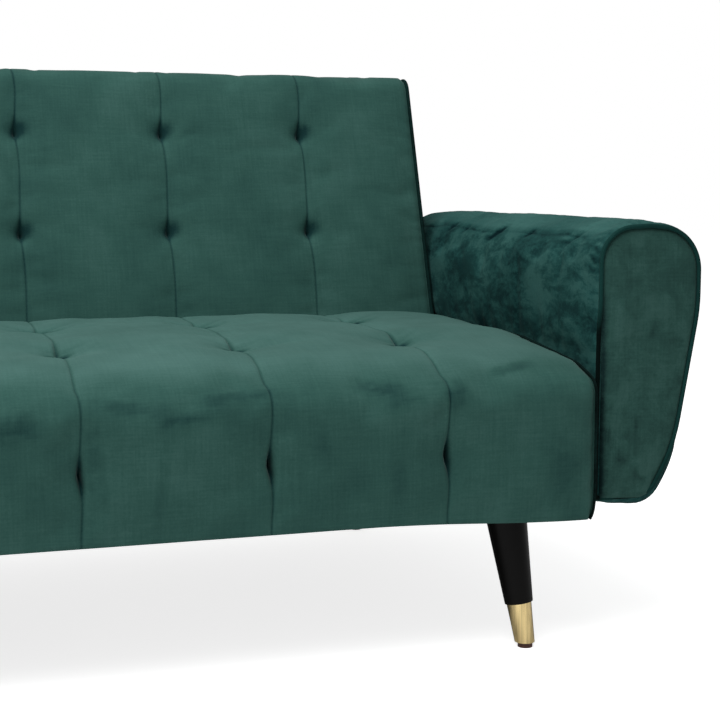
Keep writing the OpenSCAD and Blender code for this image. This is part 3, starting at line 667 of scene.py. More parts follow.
def domed_panel(outline, around, front, rear, puff, ruck, facing, tone=None):
    """A padded panel filling a closed outline in (x, z) and domed on its face.

    ruck says how far its face is raised, and tone how its pile lies and where shade is painted on it.
    """
    shell = Shell()
    section = outline.at(around)[:-1]
    middle = (section.max(axis=0) + section.min(axis=0)) / 2
    rings = []
    for step in np.linspace(1, 0, DOME_STEPS + 1)[:-1]:
        flat = middle + (section - middle) * step
        rise = puff * (0.45 * (1 - step**16) + 0.55 * (1 - step**3))
        rise = rise + ruck(flat[:, 0], flat[:, 1]) * (1 - step**8)
        rings.append(np.column_stack([flat[:, 0], front + facing * rise, flat[:, 1]]))
    rings = np.array(rings)
    face = shell.add(rings, tone(rings[..., 0], rings[..., 2]) if tone else None)
    face = np.hstack([face, face[:, :1]])
    height = puff + float(ruck(middle[:1], middle[1:])[0])
    tip = shell.add([[middle[0], front + facing * height, middle[1]]])
    flip = facing > 0
    shell.grid(face, flip=not flip)
    shell.fan(face[-1], tip[0], flip=not flip)
    foot = shell.add(np.column_stack([section[:, 0], np.full(len(section), rear), section[:, 1]]))
    foot = np.concatenate([foot, foot[:1]])
    base = shell.add([[middle[0], rear, middle[1]]])
    shell.grid(np.stack([foot, face[0]]), flip=not flip)
    shell.fan(foot, base[0], flip=flip)
    return shell


def piping_run(path, aside, radius, closed, nap_and_painted_light=PLAIN_NAP):
    """A round cord along a path, whose points each have a direction aside in the path's plane."""
    shell = Shell()
    path = np.asarray(path)
    tangent = np.gradient(path, axis=0)
    if closed:
        tangent[0] = path[1] - path[-2]
        tangent[-1] = tangent[0]
    tangent /= np.linalg.norm(tangent, axis=1)[:, None]
    across = np.cross(tangent, aside)
    rings = []
    for turn in np.linspace(0, 2 * math.pi, CORD_SIDES + 1)[:-1]:
        rings.append(path + radius * (aside * math.cos(turn) + across * math.sin(turn)))
    rings = np.array(rings).transpose(1, 0, 2)
    if closed:
        rings = rings[:-1]
    block = shell.add(rings, np.broadcast_to(nap_and_painted_light, rings.shape[:2]))
    block = np.hstack([block, block[:, :1]])
    if closed:
        block = np.vstack([block, block[:1]])
    shell.grid(block)
    if not closed:
        shell.faces.append([int(n) for n in block[0, :-1]])
        shell.faces.append([int(n) for n in block[-1, :-1][::-1]])
    return shell


# ---------------------------------------------------------------------------------------------
# Materials
# ---------------------------------------------------------------------------------------------


def feed(node, **inputs):
    """Sets a node's inputs, named with _ for spaces, to values or to other nodes' outputs."""
    for name, value in inputs.items():
        socket = node.inputs[name.replace("_", " ")]
        if isinstance(value, bpy.types.NodeSocket):
            node.id_data.links.new(value, socket)
        else:
            socket.default_value = value


def add_node(tree, kind, **values):
    """A shader node, with its settings by name and its inputs by theirs, which begin with a capital."""
    node = tree.nodes.new(kind)
    for name, value in values.items():
        if name[0].isupper():
            feed(node, **{name: value})
        else:
            setattr(node, name, value)
    return node


def noise(tree, stretch=(1, 1, 1), turn=(0, 0, 0), **inputs):
    """A noise over the piece's own places, which are turned and drawn out by a scale."""
    place = add_node(tree, "ShaderNodeTexCoord").outputs["Object"]
    drawn = add_node(tree, "ShaderNodeMapping", Vector=place, Rotation=turn, Scale=stretch)
    return add_node(tree, "ShaderNodeTexNoise", Vector=drawn.outputs["Vector"], **inputs).outputs["Fac"]


def ranged(tree, value, low=0.0, high=1.0, start=0.0, end=1.0, **settings):
    """A value that runs from low to high, made to run from start to end."""
    node = add_node(tree, "ShaderNodeMapRange", Value=value, **settings)
    feed(node, From_Min=low, From_Max=high, To_Min=start, To_Max=end)
    return node.outputs["Result"]


def joined(tree, operation, first, second, **settings):
    """Two values put together, as their sum, product or greater one."""
    node = add_node(tree, "ShaderNodeMath", operation=operation, **settings)
    tree.links.new(first, node.inputs[0])
    tree.links.new(second, node.inputs[1])
    return node.outputs[0]


def blended(tree, data_type, factor, first, second):
    """One value or colour going over into another."""
    node = add_node(tree, "ShaderNodeMix", data_type=data_type, Factor=factor, A=first, B=second)
    return node.outputs["Result"]


def ramped(tree, value, low, high):
    """The colour for a value, between a low and a high pair of (place, colour)."""
    ramp = add_node(tree, "ShaderNodeValToRGB", Fac=value)
    for stop, (place, rgb) in zip(ramp.color_ramp.elements, (low, high)):
        stop.position = place
        stop.color = full(rgb)
    return ramp.outputs["Color"]


def bumped(tree, height, strength, distance):
    """How a surface raised by this height faces."""
    node = add_node(tree, "ShaderNodeBump", Height=height, Strength=strength, Distance=distance)
    return node.outputs["Normal"]


def new_material(name):
    """A material with a Principled shader, and that shader."""
    material = bpy.data.materials.new("sofa_" + name)
    material.use_nodes = True
    return material, material.node_tree.nodes["Principled BSDF"]


def made_already(name):
    """The material of this name, if one of the functions below has made it."""
    return bpy.data.materials.get("sofa_" + name)


def full(rgb):
    """A colour with its alpha."""
    return (rgb[0], rgb[1], rgb[2], 1.0)


def dimmed(rgb, share):
    """A colour with its parts at this share, and at most one."""
    return [min(1.0, value * share) for value in rgb]


def nap_and_painted_light_group():
    """The velvet's colour from its pile and painted light: where the pile lies over and where painted shade
    falls it darkens, and where it stands up and where a painted highlight lies it goes over to the lit
    colour.
    """
    name = "velvet_nap_and_painted_light"
    if name in bpy.data.node_groups:
        return bpy.data.node_groups[name]
    tree = bpy.data.node_groups.new(name, "ShaderNodeTree")
    for label in ("Velvet", "Brushed", "Lit"):
        tree.interface.new_socket(name=label, in_out="INPUT", socket_type="NodeSocketColor")
    # The Nap input carries how the pile lies together with painted shade and painted highlights.
    for label in ("Nap", "Crush", "Patch size"):
        tree.interface.new_socket(name=label, in_out="INPUT", socket_type="NodeSocketFloat")
    tree.interface.new_socket(name="Colour", in_out="OUTPUT", socket_type="NodeSocketColor")
    tree.interface.new_socket(name="Pile", in_out="OUTPUT", socket_type="NodeSocketFloat")
    given = tree.nodes.new("NodeGroupInput").outputs
    size = given["Patch size"]
    patches = noise(tree, (1.0, 0.50, 1.0), Scale=size, Detail=7.0, Roughness=0.72, Distortion=0.25)
    streaks = noise(tree, (3.4, 3.4, 0.7), (0.10, 0.0, 0.0), Scale=size, Detail=4.0, Roughness=0.62)
    mottled = blended(tree, "FLOAT", 0.07, patches, streaks)
    sharpened = ranged(tree, mottled, 0.38, 0.62, -0.5, 0.5, interpolation_type="SMOOTHSTEP")
    facing = add_node(tree, "ShaderNodeNewGeometry").outputs["Normal"]
    up = add_node(tree, "ShaderNodeSeparateXYZ", Vector=facing).outputs["Z"]
    upright = ranged(tree, up, 0.45, 0.90, 1.0, 0.25, interpolation_type="SMOOTHSTEP")
    lie = joined(tree, "MULTIPLY", sharpened, joined(tree, "MULTIPLY", upright, given["Crush"]))
    for stretch in ((0.05, 1.0, 1.0), (1.0, 0.05, 0.05), (1.0, 1.0, 1.0)):
        threads = noise(tree, stretch, Scale=360.0, Detail=2.0, Roughness=0.6)
        lie = joined(tree, "ADD", lie, ranged(tree, threads, start=-0.10, end=0.10))
    lie = joined(tree, "ADD", lie, given["Nap"], use_clamp=True)
    # Below the middle the colour goes over to the dark one, for pile lying over and painted shade; above it
    # to the lit one, for pile standing up and painted highlights.
    dark = blended(tree, "RGBA", ranged(tree, lie, high=0.5), given["Brushed"], given["Velvet"])
    bright = blended(tree, "RGBA", ranged(tree, lie, low=0.5), dark, given["Lit"])
    pile = noise(tree, Scale=900.0, Detail=1.0)
    feed(tree.nodes.new("NodeGroupOutput"), Colour=bright, Pile=pile)
    return tree


def velvet(name, palette, crush, patch, sheen=0.12, shine=0.12):
    """Velvet with its sheen and short pile, brushed and shaded as the mesh's value says.

    The palette holds its colours where the pile lies evenly; where it lies over and where painted shade
    falls; and where it stands to the light and where a painted highlight lies.
    """
    if made_already(name):
        return made_already(name)
    material, shader = new_material(name)
    tree = material.node_tree
    nap_and_painted_light = add_node(tree, "ShaderNodeAttribute", attribute_name="nap_and_painted_light").outputs["Fac"]
    even, over, lit = [full(tone) for tone in palette]
    group = add_node(tree, "ShaderNodeGroup", node_tree=nap_and_painted_light_group(), Velvet=even, Brushed=over, Lit=lit)
    feed(group, Nap=nap_and_painted_light, Crush=crush, Patch_size=patch)
    pile = bumped(tree, group.outputs["Pile"], strength=0.12, distance=0.0006)
    feed(shader, Base_Color=group.outputs["Colour"], Normal=pile, Roughness=0.85)
    feed(shader, Specular_IOR_Level=shine, Sheen_Weight=sheen, Sheen_Roughness=0.35)
    feed(shader, Sheen_Tint=(0.80, 1.00, 0.97, 1.0))
    return material


def cushion_velvet(colours):
    """The velvet of the seat and the back."""
    palette = (colours.velvet, colours.brushed, colours.lit)
    return velvet("velvet", palette, crush=0.10, patch=5.0)


def arm_velvet(colours):
    """The crushed velvet of the arms' sleeves."""
    palette = (colours.crushed, colours.crushed_dark, colours.crushed_lit)
    return velvet("crushed_velvet", palette, crush=0.56, patch=30.0, sheen=0.02, shine=0.05)


def panel_velvet(colours):
    """The velvet of the arms' front panels, a little darker than the seat's."""
    palette = (dimmed(colours.velvet, 0.88), dimmed(colours.brushed, 0.5), dimmed(colours.lit, 0.88))
    return velvet("panel_velvet", palette, crush=0.26, patch=15.0, sheen=0.06)


def piping_velvet(colours):
    """The velvet of the piping."""
    # The second colour, far darker, is painted shade for the cords in the gaps beside the seat and the arms
    # and at the arms' feet.
    palette = (colours.piping, dimmed(colours.piping, 0.12), colours.crushed)
    return velvet("piping_velvet", palette, crush=0.15, patch=9.0, sheen=0.03, shine=0.05)


def plain(name, rgb, roughness, metallic=0.0, shine=0.5):
    """A material of one colour."""
    if made_already(name):
        return made_already(name)
    material, shader = new_material(name)
    feed(shader, Base_Color=full(rgb), Roughness=roughness)
    feed(shader, Metallic=metallic, Specular_IOR_Level=shine)
    return material


def grained(name, light, dark, rate, roughness, stretch):
    """Wood, board or cloth with a grain, which can be drawn out along one axis."""
    if made_already(name):
        return made_already(name)
    material, shader = new_material(name)
    tree = material.node_tree
    grain = noise(tree, stretch, Scale=rate, Detail=5.0, Distortion=0.6)
    tones = ramped(tree, grain, (0.35, dark), (0.65, light))
    raised = bumped(tree, grain, strength=0.15, distance=0.0008)
    feed(shader, Base_Color=tones, Normal=raised, Roughness=roughness)
    return material


def dust_fabric():
    """The thin black cloth under the frame."""
    return grained("dust_cloth", (0.030, 0.030, 0.031), (0.020, 0.020, 0.021), 500.0, 0.95, (1, 1, 1))


def brushed_brass(colours):
    """Brass brushed along the leg, with fine streaks in its roughness and painted reflections in its colour:
    lighter and darker bands along the leg.
    """
    name = "brushed_brass"
    if made_already(name):
        return made_already(name)
    material, shader = new_material(name)
    tree = material.node_tree
    along_leg = (1.0, 1.0, 0.04)
    streaks = ranged(tree, noise(tree, along_leg, Scale=900.0, Detail=3.0), start=0.16, end=0.30)
    # Painted reflections: bands of lighter and darker colour along the leg.
    reflection_bands = noise(tree, along_leg, Scale=150.0, Detail=2.0)
    gleam = ramped(tree, reflection_bands, (0.38, dimmed(colours.brass, 0.62)), (0.62, dimmed(colours.brass, 1.18)))
    feed(shader, Base_Color=gleam, Roughness=streaks, Metallic=1.0)
    return material


# ---------------------------------------------------------------------------------------------
# Places on the sofa
# ---------------------------------------------------------------------------------------------


# Half the length of the hollows in the seat and the back, which their frames fill.
HOLLOW_HALF = 0.8967
# How far up its front the seat droops at its lower corners.
DROOP_REACH = 0.035


def seam_places(pitch, half):
    """Where the sewn seams lie along the sofa."""
    count = int(half // pitch)
    return np.arange(-count, count + 1) * pitch


def cushion_stations(outline, seams, half, rows):
    """Stations across a cushion, close at its seams and ends, and along it, close at these rows."""
    marks = list(seams) + [-half, half]
    across = graded(-half, half, marks, coarse=0.0070, fine=0.0010, reach=0.010)
    along = graded(0, outline.length, rows, coarse=0.0062, fine=0.0022, reach=0.018)
    return across, along


def seat_outline(seat):
    """The seat's side outline as (distance behind its front, height above its frame's foot)."""
    low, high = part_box("seat_cover")
    depth = high.y - low.y
    height = high.z - low.z
    front = height - seat.front_drop
    step = height - seat.front_step_drop
    corners = [
        (0, 0),
        (0, front),
        (seat.front_step, step),
        (seat.front_run, height),
        (depth, height),
        (depth, 0),
    ]
    radii = [0, 0.028, 0.080, 0.300, 0.022, 0]
    return Outline(rounded(corners, radii))


def back_outline(back):
    """The back's side outline as (distance up its face, height above its rear)."""
    corners = [(0, 0), (0, back.thickness), (back.height, back.thickness), (back.height, 0)]
    radii = [0, 0.018, 0.028, 0]
    return Outline(rounded(corners, radii))


def place_seat(points):
    """Moves the seat's own places to the frame's."""
    low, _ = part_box("seat_cover")
    return points + np.array([0, low.y, low.z])


def place_back(points):
    """Moves the back's own places, (x, up its face, above its rear), to the frame's."""
    back = bpy.context.scene.sofa_back
    joint = next(j for j in frame["record"]["behaviour"]["joints"] if j["name"] == "back_recline")
    pivot = joint["pos_m"]
    cosine, sine = math.cos(back.recline), math.sin(back.recline)
    inward = back.thickness - points[:, 2] - back.pivot_in
    up = points[:, 1] - back.pivot_up
    y = pivot[1] + inward * cosine + up * sine
    z = pivot[2] - inward * sine + up * cosine
    return np.column_stack([points[:, 0], y, z])


def bowed(x, along, seams, runs, bow, reach=0.035):
    """How far each seam bows along X between its tufts."""
    to_seam = np.min(np.abs(x[..., None] - seams), axis=-1)
    bow_along = np.zeros_like(along)
    for low, high in zip(runs[:-1], runs[1:]):
        part = np.clip((along - low) / (high - low), 0, 1)
        bow_along = bow_along + bow * np.sin(math.pi * part**1.6)
    return bow_along * hump(to_seam, reach)


class Tuft:
    """How one row of tufts pulls its face in: a pinch this deep, wide and tall in a wider hollow."""

    def __init__(self, run, pinch, width, height, hollow, spread):
        self.run = run
        self.pinch = pinch
        self.width = width
        self.height = height
        self.hollow = hollow
        self.spread = spread
        self.creased()

    def creased(self, fold=0.0, reach=0.02, tail=0.0, fan=0.0):
        """Adds the creases round each tuft.

        fold is the depth of the one that runs to both sides of it over this reach, tail the length
        of the one up its seam, and fan how dark the colour goes beside it, where the pile is pulled over and
        painted shade falls in its hollow.
        """
        self.fold = fold
        self.reach = reach
        self.tail = tail
        self.fan = fan
        return self


def tufted(x, along, seams, rows, seed):
    """How far tufts pull a face in, and how dark the colour goes round them: painted shade in each pinch and
    along its creases, with pile pulled over beside it.
    """
    rng = np.random.default_rng(seed)
    depth = np.zeros(np.broadcast(x, along).shape)
    nap_and_painted_light = np.zeros_like(depth)
    for row in rows:
        for seam in seams:
            strength = rng.uniform(0.88, 1.12)
            aside = x - seam
            ahead = along - row.run
            pinched = np.hypot(aside / row.width, ahead / row.height)
            depth += strength * row.pinch * np.exp(-pinched)
            # Painted shade in the pinch: the colour darkens where the velvet is drawn in.
            nap_and_painted_light -= 0.45 * np.exp(-((pinched / 1.6) ** 4))
            hollow = np.hypot(aside, ahead) / row.spread
            depth += strength * row.hollow * np.exp(-(hollow**2))
            if row.fold:
                lean = rng.uniform(-0.25, 0.25)
                sides = hump(aside, row.reach)
                curl = ahead + lean * aside - 7 * aside**2
                depth += strength * row.fold * near(np.abs(curl), 0.0026) * sides
                # Painted shade along the fold's crease.
                nap_and_painted_light -= 0.75 * hump(curl - 0.003, 0.0065) * sides
                wide = hump(aside, 2.4 * row.reach)
                for offset, share in ((0.016, 0.30), (-0.013, 0.20)):
                    slack = curl - offset - 5 * aside**2
                    depth += share * row.fold * hump(slack, 0.004) * wide
                    # Painted shade along the slack folds to each side.
                    nap_and_painted_light -= 0.5 * share * hump(slack - 0.003, 0.005) * wide
            if row.tail:
                behind = np.exp(-((aside / 0.0035) ** 2) - ((ahead - row.tail) / row.tail) ** 2)
                depth += 0.004 * strength * behind
                # Painted shade along the crease up the seam.
                nap_and_painted_light -= 0.30 * behind
            if row.fan:
                # The dark patch beside the tuft: pile pulled over, and painted shade in its hollow.
                right = np.hypot((aside - 0.010) / 0.0095, (ahead - 0.008) / 0.0125)
                nap_and_painted_light -= row.fan * rng.uniform(0.85, 1.15) * np.exp(-(right**3))
                left = np.hypot((aside + 0.009) / 0.011, (ahead - 0.006) / 0.014)
                nap_and_painted_light -= 0.35 * row.fan * rng.uniform(0.7, 1.3) * np.exp(-(left**2))
    return depth, nap_and_painted_light


def stroked(x, along, strokes):
    """How the pile lies along strokes of (x, run, length, width, turn, tone): on the seat where a hand has
    brushed it, and on the arms' front panels as painted shade along small wrinkles.
    """
    nap_and_painted_light = np.zeros(np.broadcast(x, along).shape)
    for middle, run, reach, width, turn, tone in strokes:
        aside, ahead = x - middle, along - run
        forward = aside * math.cos(turn) + ahead * math.sin(turn)
        across = -aside * math.sin(turn) + ahead * math.cos(turn)
        across = across + width * (0.30 * ripple(x, along, 0.05, 90) + 0.35 * ripple(x, along, 0.014, 91))
        nap_and_painted_light += tone * np.exp(-((forward / reach) ** 4) - ((across / width) ** 2))
    return nap_and_painted_light


# ---------------------------------------------------------------------------------------------
# Pieces
# ---------------------------------------------------------------------------------------------


class SOFA_OT_seat(bpy.types.Operator):
    """Upholster the seat: crowned panels, sewn seams and tufts over the sprung frame"""

    bl_idname = "sofa.seat"
    bl_label = "Seat cushion"

    def execute(self, context):
        scene = context.scene
        padding, seat = scene.sofa_padding, scene.sofa_seat
        low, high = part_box("seat_cover")
        depth, height = high.y - low.y, high.z - low.z
        half = high.x + padding.end_swell
        outline = seat_outline(seat)
        seams = seam_places(padding.seam_pitch, half)
        rear = outline.nearest((seat.rear_tuft, height))
        fall_at_tuft, edge_turn, rear_turn = 0.006, 0.012, 0.005
        front = outline.nearest((seat.front_tuft, height - fall_at_tuft))
        face = outline.nearest((0, seat.face_tuft - low.z))
        edge = outline.nearest((edge_turn, height - seat.front_drop))
        top_end = outline.nearest((depth - rear_turn, height))
        across, along = cushion_stations(outline, seams, half, [rear, front, face, edge, top_end])

        tufts = [
            Tuft(rear, pinch=0.014, width=0.0055, height=0.0055, hollow=0.009, spread=0.030).creased(
                fold=0.0070, reach=0.026, tail=0.016, fan=0.62
            ),
            Tuft(front, pinch=0.012, width=0.0055, height=0.0055, hollow=0.009, spread=0.034).creased(
                fold=0.0045, reach=0.014, tail=0.024, fan=0.14
            ),
            Tuft(face, pinch=0.026, width=0.0024, height=0.0135, hollow=0.003, spread=0.020),
        ]
        strokes = [
            (0.36, edge - 0.030, 0.032, 0.007, 0.1, -0.38),
            (0.30, edge - 0.014, 0.044, 0.008, -0.15, -0.24),
            (0.42, edge - 0.004, 0.050, 0.006, 0.12, -0.20),
            (0.61, edge + 0.002, 0.034, 0.012, -0.2, -0.34),
            (0.64, edge - 0.020, 0.026, 0.008, 0.1, -0.20),
            (0.71, edge - 0.014, 0.018, 0.014, 0.5, -0.34),
            (0.80, edge + 0.030, 0.034, 0.010, 0.35, -0.34),
            (0.16, edge - 0.030, 0.026, 0.012, 0.2, -0.30),
            (0.05, edge - 0.016, 0.050, 0.010, -0.1, -0.26),
            (0.25, face + 0.026, 0.010, 0.040, 0.1, -0.20),
            (0.33, face - 0.010, 0.008, 0.050, -0.1, -0.12),
            (0.53, face + 0.030, 0.010, 0.030, 0.15, -0.12),
            (0.63, face - 0.020, 0.012, 0.040, 0.0, -0.12),
            (-0.33, edge - 0.020, 0.040, 0.008, 0.15, -0.34),
            (-0.58, edge + 0.010, 0.030, 0.010, -0.25, -0.30),
            (-0.78, edge - 0.010, 0.028, 0.012, 0.3, -0.30),
            (-0.44, face + 0.010, 0.010, 0.040, 0.1, -0.14),
            (0.86, face - 0.030, 0.025, 0.050, 0.3, -0.16),
        ]

        def swell(x, s):
            to_seam = np.min(np.abs(x[..., None] - seams), axis=-1)
            to_end = half - np.abs(x)
            level = outline.at(s[0])[None, :, 1]
            on_top = smooth_step((s - edge) / 0.10)
            shown = 1 - smooth_step((s - top_end) / 0.02)
            rise = padding.seat_rise * on_top * clear(to_end, 0.045) * shown
            puff = padding.seat_puff * between_seams(to_seam, to_end) * shown
            foot = clear(level + 0.002, 0.012)
            seam = padding.seam_depth * near(to_seam, padding.seam_width) * shown
            pull, nap_and_painted_light = tufted(x, s, seams, tufts, seed=11)
            nap_and_painted_light = nap_and_painted_light + stroked(x, s, strokes)
            rough = uneven(x, s, 3, (0.0011, 0.16), (0.0004, 0.05)) * clear(to_end, 0.03) * shown
            out = (rise + puff + rough - seam - pull * shown) * foot
            out = out - rolled(to_end, padding.slim_piping) - 0.0025 * near(to_end, 0.008) * shown
            shade = PLAIN_NAP + nap_and_painted_light + uneven(x, s, 5, (0.04, 0.22), (0.03, 0.06))
            # Painted highlight: the seat's top goes over to the lit colour behind its front edge, where the
            # light from above falls on it.
            shade = shade + 0.30 * smooth_step((s - edge - 0.012 * ripple(x, 0 * s, 0.11, 7)) / 0.07)
            shade = shade - seam_painted_shade(to_seam) * shown
            sway = bowed(x, s, seams, [0.0, face, edge + 0.02, front, rear], bow=0.0030)
            corner = 0.007 * near(to_end, 0.012) * near(level, 0.009) * (s < edge)
            return out, shade, sway - np.sign(x) * corner

        behind_pad, rear_wall, foam_foot = 0.0303, 0.003, 0.1163
        room = (HOLLOW_HALF, behind_pad, depth - rear_wall, foam_foot)
        held = [rear, front, face, edge]
        settle = filled_panels(outline, across, along, seams, held, swell, spacing=0.009)
        droop = corner_droop(across, padding.corner_droop)
        hang = near(outline.at(along)[None, :, 1], DROOP_REACH) * (along < edge)
        settle[..., 2] -= droop[:, None] * hang
        shell = padded_lid(outline, across, along, swell, end_swell=0.001, room=room, settle=settle)
        piece = shell.build("seat_cushion", place_seat)
        material = cushion_velvet(scene.sofa_colours)
        finish_piece(piece, "root", material, ["seat_cover", "seat_foam", "front_pad"])
        return {"FINISHED"}


class SOFA_OT_back(bpy.types.Operator):
    """Upholster the back, with the slots at its foot where the hinges work"""

    bl_idname = "sofa.back"
    bl_label = "Back cushion"

    def execute(self, context):
        scene = context.scene
        padding, back = scene.sofa_padding, scene.sofa_back
        _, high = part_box("back_cover")
        half = high.x + 0.5 * padding.end_swell
        outline = back_outline(back)
        seams = seam_places(padding.seam_pitch, half)
        rows = [
            outline.nearest((back.height - back.first_row - k * back.row_pitch, back.thickness))
            for k in range(2)
        ]
        tufts = [
            Tuft(run, pinch=0.013, width=0.0045, height=0.0070, hollow=0.0060, spread=0.017).creased(
                tail=0.012, fan=0.42
            )
            for run in rows
        ]
        foot = outline.nearest((0, back.thickness))
        top = outline.nearest((back.height, back.thickness))
        across, along = cushion_stations(outline, seams, half, rows + [foot, top])

        def swell(x, s):
            to_seam = np.min(np.abs(x[..., None] - seams), axis=-1)
            to_end = half - np.abs(x)
            up = smooth_step((s - foot) / 0.12)
            down = smooth_step((top + 0.03 - s) / 0.05)
            puff = padding.back_puff * between_seams(to_seam, to_end)
            rise = 0.004 * clear(to_end, 0.040)
            seam = 0.8 * padding.seam_depth * near(to_seam, padding.seam_width)
            pull, nap_and_painted_light = tufted(x, s, seams, tufts, seed=23)
            rough = uneven(x, s, 31, (0.0009, 0.18), (0.0003, 0.05)) * clear(to_end, 0.03)
            out = (rise + puff + rough - seam - pull) * up * down
            out = out - rolled(to_end, padding.piping_size)
            shade = 0.48 + nap_and_painted_light + uneven(x, s, 35, (0.04, 0.22), (0.03, 0.06))
            shade = shade - seam_painted_shade(to_seam)
            sway = bowed(x, s, seams, [foot] + rows[::-1] + [top], bow=0.0040)
            return out, shade, sway

        low_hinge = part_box("back_bottom_rail")[1].x
        high_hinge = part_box("hinge_base_plate_right")[1].x + 0.0015
        slot_run, slot_height = 0.0954, back.thickness - 0.022
        notch = (low_hinge, high_hinge, slot_run, slot_height)
        above_foot, below_top, padding_thick = 0.0205, 0.021, 0.037
        end_swell = 0.004
        room = (HOLLOW_HALF, above_foot, back.height - below_top, back.thickness - padding_thick)
        held = rows + [foot, top]
        settle = filled_panels(outline, across, along, seams, held, swell, spacing=0.009)
        shell = padded_lid(outline, across, along, swell, end_swell, room, settle, notch)
        piece = shell.build("back_cushion", place_back)
        material = cushion_velvet(scene.sofa_colours)
        finish_piece(piece, "back", material, ["back_cover", "back_foam"])
        return {"FINISHED"}


def corner_droop(x, amount):
    """How far the seat's lower front edge hangs down towards its ends."""
    level_half, run = 0.60, 0.30
    return amount * smooth_step((np.abs(x) - level_half) / run)


def arm_corners(side):
    """The arm's end outline in (x, z), with its outside on the left hand, and its radii."""
    node = "arm_cover_right" if side > 0 else "arm_cover_left"
    low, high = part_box(node)
    inner = min(abs(low.x), abs(high.x))
    width = high.x - low.x
    foot, top = low.z, high.z
    height = top - foot
    corners = [
        (inner, foot),
        (inner + 0.002, top - 0.004),
        (inner + 0.5 * width, top),
        (inner + width, top - 0.007),
        (inner + width, foot + 0.69 * height),
        (inner + 0.78 * width, foot + 0.175 * height),
        (inner + 0.53 * width, foot),
    ]
    radii = [0.010, 0.050, 0.110, 0.062, 0.250, 0.240, 0.032]
    if side < 0:
        corners = [(-x, z) for x, z in corners][::-1]
        radii = radii[::-1]
    return corners, radii


def inset(outline_points, amount):
    """An outline moved in by one amount, or by an amount for each of its points."""
    outline = Outline(outline_points)
    stations = outline.along
    amount = np.broadcast_to(amount, stations.shape)[:, None]
    return Outline(outline.at(stations) - outline.outward(stations) * amount)


def beside_seat(flat):
    """How far, from nought to one, points of an arm's end outline stand against the seat's end."""
    low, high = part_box("arm_cover_right")
    close = smooth_step((low.x + 0.014 - np.abs(flat[:, 0])) / 0.008)
    return close * smooth_step((high.z - 0.10 - flat[:, 1]) / 0.05)


def at_foot(flat):
    """How far, from nought to one, points of an arm's end outline lie along its foot."""
    low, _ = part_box("arm_cover_right")
    return smooth_step((low.z + 0.016 - flat[:, 1]) / 0.010)


def tucked(flat):
    """How far, from nought to one, an arm's end outline is at its foot or beside the seat."""
    return np.maximum(beside_seat(flat), at_foot(flat))


